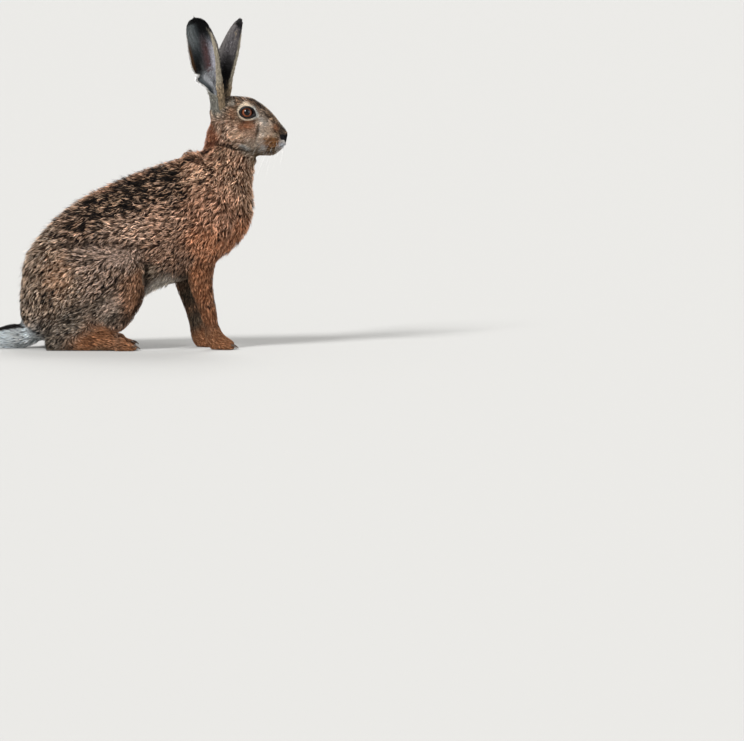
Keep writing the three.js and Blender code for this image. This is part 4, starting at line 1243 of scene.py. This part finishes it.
def ear_colour(t, u, inner):
    """Colours of the ear's short coat, inside or outside. w runs across the ear and on round its rolled edges."""
    angle = np.degrees(ear_angle(t, u))
    w = np.sin(np.radians(np.clip(angle, -90, 90))) + np.sign(angle) * np.maximum(np.abs(angle) - 90, 0) / 90
    streak = (1 + 0.36 * np.sin(w * 34 + 7 * t + 3 * np.sin(9 * t)) * np.sin(w * 13 - 5 * t))[..., None]
    c = linear(EAR_SLATE if inner else EAR_BACK) * streak

    def paint(rgb, mask, broken=streak):
        nonlocal c
        c = mix(c, linear(rgb) * broken, mask)

    if inner:
        low, high = smoothstep(t, 0.74, 0.46), smoothstep(t, 0.56, 0.78)
        paint((122, 127, 128), bell(w, -0.72, 0.42) * high * 0.75)
        paint(EAR_BLACK, 0.95 * low * smoothstep(w, 0.06, -0.42) * smoothstep(t, 0.3, 0.42), 1)
        paint((96, 98, 98), 0.7 * bell(w, -0.34, 0.1) * bell(t, 0.42, 0.08))
        paint((96, 68, 44), smoothstep(w, -0.74, -0.97) * smoothstep(t, 0.4, 0.5) * smoothstep(t, 0.78, 0.64), 1)
        paint(EAR_BLACK, smoothstep(w, -0.45, 0.2) * smoothstep(t, 0.66, 0.86), 1)
        pink = smoothstep(w, -0.34, 0.1) * smoothstep(w, 0.62, 0.2) * smoothstep(t, 0.24, 0.34)
        paint((88, 66, 67), pink * smoothstep(t, 0.84, 0.6))
        paint((186, 184, 194), smoothstep(w, 0.2, 0.6) * smoothstep(t, 0.8, 0.56))
        paint((184, 186, 190), 0.85 * smoothstep(t, 0.43, 0.31) * bell(w, -0.36, 0.3))
        paint((56, 42, 42), 0.8 * smoothstep(t, 0.38, 0.2) * bell(w, 0.1, 0.16), 1)
        paint(EAR_BUFF, smoothstep(w, 0.66, 0.95) * smoothstep(t, 0.9, 0.78), 1)
        paint(EAR_CREAM, smoothstep(u, 0.03, 0.012) * smoothstep(t, 0.2, 0.24) * smoothstep(t, 0.88, 0.78), 1)
    else:
        paint((84, 80, 82), 0.8 * smoothstep(w, 0.2, 0.8))
        paint((58, 56, 57), smoothstep(w, 0.4, 0.9) * smoothstep(t, 0.66, 0.42), 1)
        paint((12, 11, 12), smoothstep(w, 0.4, 0.8) * smoothstep(t, 0.5, 0.34), 1)
        paint((124, 122, 114), smoothstep(w, -0.1, -0.6) * smoothstep(t, 0.5, 0.3))
        paint(EAR_BLACK, bell(w, 1.1, 0.1) * smoothstep(t, 0.74, 0.86), 1)
        paint(EAR_BUFF, smoothstep(w, 1.16, 1.27) * smoothstep(t, 0.9, 0.8))
        paint((150, 132, 108), smoothstep(w, 0.95, 1.2) * smoothstep(t, 0.3, 0.16))
        paint((90, 80, 68), smoothstep(w, 0.2, 0.6) * smoothstep(w, 1.1, 0.9) * smoothstep(t, 0.16, 0.08), 1)
        paint(EAR_CREAM, smoothstep(u, 0.025, 0.01) * smoothstep(t, 0.4, 0.5) * smoothstep(t, 0.88, 0.78), 1)
        paint((240, 240, 240), smoothstep(u, 0.08, 0.03) * smoothstep(t, 0.2, 0.26) * smoothstep(t, 0.4, 0.36), 1)
        c = c * (1 + 0.22 * np.sin(61 * t + 5 * w) * np.sin(19 * t - 23 * w))[..., None]
    tip_start = 0.925 if inner else 0.95
    tip = smoothstep(t + 0.09 * smoothstep(w, 0.1, 0.9), tip_start, tip_start + 0.035)
    rim = smoothstep(np.abs(u - 0.5), 0.46, 0.49) * smoothstep(t, 0.76, 0.84)
    paint(EAR_BLACK, tip, 1)
    paint(EAR_BLACK, rim, 1)
    return c


def build_ear(name, spec):
    """The cupped sheet of one ear, closed round its edges, with its foot and its coat."""
    columns = 48
    foot = -EAR_FOOT * np.sin(np.linspace(1.5, 0.25, 6))
    t = np.concatenate([foot, 1 - (1 - np.linspace(0, 1, 88)) ** 1.15])
    rows, around_it = len(t), 2 * columns
    tt, uu = np.meshgrid(t, np.linspace(0, 1, columns), indexing="ij")
    outer, inner = ear_surface(spec, tt, uu, 0.0), ear_surface(spec, tt, uu, 1.0)
    ring = np.concatenate([outer, inner[:, ::-1]], axis=1)
    colour = np.concatenate([ear_colour(tt, uu, False), ear_colour(tt, uu, True)[:, ::-1]], axis=1)
    quads = grid_faces(rows, around_it, True)
    for end in (0, rows - 1):
        k = np.arange(columns - 1)
        a = end * around_it + k
        d = end * around_it + around_it - 1 - k
        quads = np.concatenate([quads, np.stack([a, a + 1, d - 1, d] if end else [a + 1, a, d, d - 1], -1)])
    if spec["side"] < 0:
        quads = quads[:, ::-1]
    me = mesh_from(f"{name}_ear_skin", ring.reshape(-1, 3), quads.ravel(), np.full(len(quads), 4))
    set_colour(me, "Coat", colour.reshape(-1, 3) * 0.7)
    flat = np.concatenate([ear_uv(tt, uu, False), ear_uv(tt, uu, True)[:, ::-1]], axis=1)
    set_uv(me, flat.reshape(-1, 2))
    me.materials.append(SKIN)
    obj = link(bpy.data.objects.new(me.name, me))
    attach(obj, "root")
    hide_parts(f"{name}_ear")
    ear_coat(name, spec)


def ear_uv(t, u, inner):
    """Bake positions: the outside in the left half of the picture and the inside in the right half."""
    return np.stack([1 - u * 0.48 if inner else u * 0.48, (t + EAR_FOOT) / (1 + EAR_FOOT)], -1)


def ear_roots(spec, count, inset, t_range, u_range):
    """Even random places on one face of the ear, with the way out of it and the way to its tip."""
    t = rng.uniform(*t_range, count * 3)
    u = rng.uniform(*u_range, count * 3)
    h = 1e-3
    ahead = np.minimum(t + h, 1)
    here = ear_surface(spec, t, u, inset)
    along = ear_surface(spec, ahead, u, inset) - ear_surface(spec, ahead - 2 * h, u, inset)
    across = ear_surface(spec, t, u + h, inset) - ear_surface(spec, t, u - h, inset)
    normal = np.cross(across, along)
    area = np.linalg.norm(normal, axis=1)
    keep = rng.random(len(t)) < area / np.percentile(area, 97) * 0.9
    pick = np.flatnonzero(keep)[:count]
    normal = unit(normal) * spec["side"] * (-1 if inset else 1)
    return t[pick], u[pick], here[pick], normal[pick], unit(along[pick]), unit(across[pick])


def ear_coat(name, spec):
    layers = [ear_layer(spec, *layer) for layer in EAR_HAIR]
    roots = Tufts(*(np.concatenate(parts) for parts in zip(*(layer[0].arrays() for layer in layers))))
    own = (np.concatenate([layer[k] for layer in layers]) for k in range(1, 5))
    place_piece(tuft_mesh(f"{name}_ear_coat", roots, *own))


def ear_layer(spec, count, inset, length, width, lift, t_range, u_range, lean, tint):
    """The roots of one layer of the ear's hair, and each tuft's length, width, lift and colours."""
    t, u, at, normal, along, across = ear_roots(spec, count, inset, t_range, u_range)
    n = len(t)
    roots = Tufts(at, normal, along + across * lean, np.zeros(n), ear_uv(t, u, inset))
    roots.turned(rng.normal(0, 0.16, n))
    if tint is None:
        stray_t, stray_u = rng.normal(0, 1, (2, n))
        colour = ear_colour(np.clip(t + 0.018 * stray_t, 0, 1), np.clip(u + 0.02 * stray_u, 0, 1), inset)
    else:
        colour = np.broadcast_to(linear(tint), (n, 3))
    colour = colour * np.exp(rng.normal(0, 0.26, n))[:, None]
    # Darker at the root as painted shade under the hair, and a little lighter towards the tip.
    shades = np.stack([colour * (0.78 if inset else 0.6), colour * 0.92, colour * 1.12], 1)
    size = np.exp(rng.normal(0, 0.18, n))
    return roots, length * size, width * rng.uniform(0.7, 1.1, n), lift * size, shades


# ---------------------------------------------------------------- eyes
LID_PLAY = 0.3  # between the eyeball and its lids
LID_THICKNESS = 0.4
BALL_REACH = 10.4  # how far from its middle the eyeball carries the lids
# The rings of the lids: the share of the way from the opening to the rim, and the rise above what is under it.
LID_RINGS = (
    (-0.13, -3.4), (-0.1, -0.6), (-0.02, 0.15), (0.06, 0.9), (0.2, 1.3), (0.4, 1.4), (0.6, 1.1), (0.8, 0.6),
    (1.0, 0.2), (1.15, -1.4),
)


def eye_axes(side):
    gaze = unit(np.array([0.06, side * 0.98, 0.17]))
    up = unit(np.array([0, 0, 1]) - gaze * gaze[2])
    forward = np.cross(gaze, up) * side
    return gaze, up, forward if forward[0] > 0 else -forward


def build_eye(name, side):
    gaze, up, forward = eye_axes(side)
    rows, columns = 64, 112
    polar = np.linspace(0.004, math.pi - 0.004, rows)
    turn = np.linspace(0, 2 * math.pi, columns, endpoint=False)
    aa, bb = np.meshgrid(polar, turn, indexing="ij")
    bulge = 0.55 * np.clip(1 - (aa / 0.95) ** 2, 0, 1)
    radius = EYE_RADIUS - 0.15 + bulge
    ray = (
        gaze * np.cos(aa)[..., None]
        + forward * (np.sin(aa) * np.cos(bb))[..., None]
        + up * (np.sin(aa) * np.sin(bb))[..., None]
    )
    points = EYE * [1, side, 1] + ray * radius[..., None]
    quads = grid_faces(rows, columns, True)
    top = np.arange(columns)
    corners = np.concatenate([quads.ravel(), top[::-1], (rows - 1) * columns + top])
    sizes = [4] * len(quads) + [columns, columns]
    me = mesh_from(f"{name}_eyeball", points.reshape(-1, 3), corners, sizes)
    fix_outward(me)
    deg = np.degrees(aa)
    edge = deg / (1 + 0.14 * np.sin(bb) ** 2) + 0.5 * np.sin(bb * 3 + 1) + 0.3 * np.sin(bb * 7)
    iris = mix(linear((112, 60, 37)), linear((46, 23, 16)), smoothstep(deg, 34, 56))
    iris = mix(iris, linear((134, 72, 40)), bell(deg, 33, 4) * 0.5)
    # The upper part of the iris is darkened, as painted shadow of the upper lid.
    iris = iris * (1 - 0.6 * smoothstep(np.sin(bb + 0.5), -0.1, 0.9))[..., None]
    colour = mix(np.broadcast_to(linear((5, 4, 6)), iris.shape), iris, smoothstep(edge, 26.5, 29.0))
    colour = mix(colour, linear((8, 6, 6)), smoothstep(deg, 53, 60))
    set_colour(me, "Coat", colour.reshape(-1, 3))
    rays = np.stack([np.cos(bb) * 9, np.sin(bb) * 9, aa * 1.2], -1)
    set_vector(me, "Strand", rays.reshape(-1, 3))
    me.materials.append(EYE_MAT)
    obj = link(bpy.data.objects.new(me.name, me))
    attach(obj, "root")
    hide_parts(f"{name}_eye")


def fix_outward(me):
    with editing(me) as bm:
        bmesh.ops.recalc_face_normals(bm, faces=bm.faces)


def skin_tree(skin):
    points = vertices_mm(skin.data)
    return BVHTree.FromPolygons([Vector(p) for p in points], triangles_of(skin.data)[0].tolist())


def build_lids(name, side, tree):
    """The black rim of the eye: thick lids that hug the eyeball and reach down to the skin, drawn out in front."""
    columns = 120
    turn = np.linspace(-180, 180, columns, endpoint=False)
    c, s = np.cos(np.radians(turn)), np.sin(np.radians(turn))
    reach = np.interp(turn, RIM_TURN, RIM_REACH)
    opening = np.stack([0.7 + (10.1 + 0.4 * bell(turn, -18, 22)) * c, 0.9 + 7.9 * s], 1)
    rim = np.stack([reach * c, reach * s], 1)

    def ball(at):
        away = np.hypot(*at.T)
        dome = np.sqrt((EYE_RADIUS + LID_PLAY) ** 2 - np.minimum(away, BALL_REACH) ** 2)
        return dome - 1.6 * np.maximum(away - BALL_REACH, 0)

    def skin_height(x, z):
        start = Vector((EYE[0] + x, side * 70.0, EYE[2] + z))
        hit = tree.ray_cast(start, Vector((0, -side, 0)))[0]
        return abs(hit[1]) - EYE[1] if hit else 4.0

    on_ball = ball(opening)
    on_skin = np.array([skin_height(x, z) for x, z in rim * 1.04])
    rings = []
    for q, rise in LID_RINGS:
        at = opening + (rim - opening) * q
        level = on_ball + (on_skin - on_ball) * smoothstep(q, 0.0, 1.0)
        if 0 < q <= 0.6:
            level = np.maximum(level, ball(at))
        rings.append(np.stack([EYE[0] + at[:, 0], side * (EYE[1] + level + rise), EYE[2] + at[:, 1]], 1))
    quads = grid_faces(len(rings), columns, True)
    me = mesh_from(f"{name}_lids", np.concatenate(rings), quads.ravel(), np.full(len(quads), 4))
    with editing(me) as solid:
        if side > 0:
            bmesh.ops.reverse_faces(solid, faces=solid.faces)
        bmesh.ops.solidify(solid, geom=solid.faces[:], thickness=LID_THICKNESS / 1000)
    smooth(me)
    me.materials.append(BARE)
    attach(link(bpy.data.objects.new(me.name, me)), "root")


# ---------------------------------------------------------------- whiskers and claws
WHISKER_ROWS, WHISKERS_IN_ROW, BROW_WHISKERS = 3, 4, 3
WHISKER_STEPS = 14
# The toes of a foot: how far out it stands, how much further back the left one is, where the toes start (x, z),
# and their length, radius and spacing.
FORE_TOES = (31.0, LEFT_FORE_BACK, 140, 8.5, 18, 5.2, 8.6)
HIND_TOES = (56.0, LEFT_HIND_BACK, -36, 9.0, 27, 6.4, 9.2)
CLAW_RADIUS = 1.5


def tapered(paths, radius, sides=5):
    """Closed tapering tubes along paths (count, steps, 3), radius at the root of each."""
    count, steps, _ = paths.shape
    way = unit(np.gradient(paths, axis=1))
    side = unit(np.cross(way, np.array([0.13, 0.21, 0.97])))
    other = np.cross(way, side)
    angle = np.linspace(0, 2 * math.pi, sides, endpoint=False)
    taper = np.linspace(1, 0.25, steps)[None, :, None, None] * radius[:, None, None, None]
    ring = (
        paths[:, :, None]
        + side[:, :, None] * np.cos(angle)[None, None, :, None] * taper
        + other[:, :, None] * np.sin(angle)[None, None, :, None] * taper
    )
    quads = grid_faces(steps, sides, True)
    base = np.arange(count)[:, None] * steps * sides
    body = (base + quads.ravel()).reshape(-1)
    caps = np.concatenate([np.arange(sides)[::-1], (steps - 1) * sides + np.arange(sides)])
    corners = np.concatenate([body, (base + caps).reshape(-1)])
    sizes = np.concatenate([np.full(count * len(quads), 4), np.full(count * 2, sides)])
    along = np.tile(np.repeat(np.linspace(0, 1, steps), sides), count)
    return ring.reshape(-1, 3), corners, sizes, along


def build_whiskers(tree):
    """Rows of long whiskers on the pads and a few over each eye, all rooted on the skin."""
    on_skin = lambda place: np.array(tree.find_nearest(Vector(place))[0])
    paths, radii = [], []
    s = np.linspace(0, 1, WHISKER_STEPS)[:, None]
    for side in (-1, 1):
        for row, k in np.ndindex(WHISKER_ROWS, WHISKERS_IN_ROW):
            root = np.array([236 - 5.2 * k + 0.6 * row, 17.2 + 1.1 * k, 355 - 4.2 * row - 0.5 * k])
            root += rng.normal(0, 0.4, 3)
            span = rng.uniform(38, 50) + 7 * k + 2 * row
            out = np.array([0.25 - 0.22 * k + 0.08 * row, 0.85, 0.1 - 0.28 * row])
            out = unit(out + rng.normal(0, 0.1, 3))
            fall = unit(np.array([-0.2 - 0.1 * k, 0.35, -1.0]) + rng.normal(0, 0.1, 3))
            bend = 0.55 + 0.1 * row
            path = on_skin(root) + out * span * s * (1 - bend * s) + fall * span * s**2 * bend
            paths.append(path * [1, side, 1])
            radii.append(rng.uniform(0.1, 0.15))
        for k in range(BROW_WHISKERS):
            rise = np.array([-6 - 2 * k, 9, 18 + 3 * k]) * s + np.array([-9, 3, -4]) * s**2
            paths.append((on_skin((176 + 5 * k, 26, 419)) + rise) * [1, side, 1])
            radii.append(0.09)
    points, corners, sizes, along = tapered(np.array(paths), np.array(radii))
    me = mesh_from("whiskers", points, corners, sizes)
    set_vector(me, "Strand", np.stack([along, along * 0, along * 0], -1))
    me.materials.append(WHISKER)
    obj = link(bpy.data.objects.new("whiskers", me))
    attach(obj, "root")


def build_claws():
    """Four claws to a foot, curving down in front of its toes."""
    paths, radii = [], []
    s = np.linspace(0, 1, 9)[:, None]
    for side in (-1, 1):
        for stance, left_back, x, z, length, radius, spread in (FORE_TOES, HIND_TOES):
            for place in (-1.5, -0.5, 0.5, 1.5):
                reach = x - left_back * (side > 0) + length * (1 - 0.16 * abs(place)) + radius * 0.7 - 2.5
                root = np.array([reach, side * (stance + place * spread), z - radius * 0.1])
                paths.append(root + np.array([9.5, 0, -1.0]) * s + np.array([0, 0, -5.0]) * s**2)
                radii.append(CLAW_RADIUS)
    points, corners, sizes, _ = tapered(np.array(paths), np.array(radii), sides=8)
    points[:, 2] = np.maximum(points[:, 2], FLOOR_CLEARANCE)
    me = mesh_from("claws", points, corners, sizes)
    me.materials.append(HORN)
    obj = link(bpy.data.objects.new("claws", me))
    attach(obj, "root")


# ---------------------------------------------------------------- studio
# Lamps: the name, the direction the light comes from, the strength and the spread in degrees.
LAMPS = (
    ("key", (-2.0, -2.4, 2.8), 4.3, 16),
    ("fill", (2.8, -2.2, 1.4), 1.2, 40),
    ("back", (0.8, 2.4, 2.6), 1.7, 30),
)


def build_studio():
    """A wide pale floor and soft light from three sides."""
    me = bpy.data.meshes.new("floor")
    square = [(x * FLOOR_REACH, y * FLOOR_REACH, 0) for x, y in ((-1, -1), (1, -1), (1, 1), (-1, 1))]
    me.from_pydata(square, [], [(0, 1, 2, 3)])
    mat = material("floor_paper", 0.85, Specular_IOR_Level=0.1, Base_Color=(0.4, 0.397, 0.387, 1))
    me.materials.append(mat)
    link(bpy.data.objects.new("floor", me))

    for name, come_from, strength, spread in LAMPS:
        data = bpy.data.lights.new(name, "SUN")
        data.energy, data.angle = strength, math.radians(spread)
        lamp = link(bpy.data.objects.new(name, data))
        lamp.location = come_from
        lamp.rotation_euler = Vector(come_from).to_track_quat("Z", "Y").to_euler()
    world = bpy.data.worlds.new("studio")
    world.use_nodes = True
    background = world.node_tree.nodes["Background"].inputs
    background["Color"].default_value = (1, 0.99, 0.97, 1)
    background["Strength"].default_value = 0.6
    bpy.context.scene.world = world
    bpy.context.scene.view_settings.view_transform = "Standard"


def build_camera():
    tilt = math.radians(CAMERA_TILT)
    aim_x = (FRAME_W / 2 - ORIGIN_PX[0]) * PX
    aim_z = (ORIGIN_PX[1] - FRAME_H / 2) * PX / math.cos(tilt)
    aim = Vector(to_metres([aim_x, 0, aim_z]))
    away = CAMERA_AWAY / 1000
    data = bpy.data.cameras.new("camera")
    data.sensor_width = 36
    data.lens = 36 * (away - HARE_NEARER / 1000) / (FRAME_W * PX / 1000)
    data.clip_end = 400
    camera = link(bpy.data.objects.new("camera", data))
    camera.location = aim + Vector((0, -math.cos(tilt), math.sin(tilt))) * away
    camera.rotation_euler = (aim - camera.location).to_track_quat("-Z", "Y").to_euler()
    bpy.context.scene.camera = camera


build_camera()
build_studio()
skin = build_skin()
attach(skin, "root")
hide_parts(*FLESH)
build_body_coat(skin)
tree = skin_tree(skin)
for ear_name, ear_spec in EARS.items():
    build_ear(ear_name, ear_spec)
for eye_name, eye_side in (("right", -1), ("left", 1)):
    build_eye(eye_name, eye_side)
    build_lids(eye_name, eye_side, tree)
build_whiskers(tree)
build_claws()
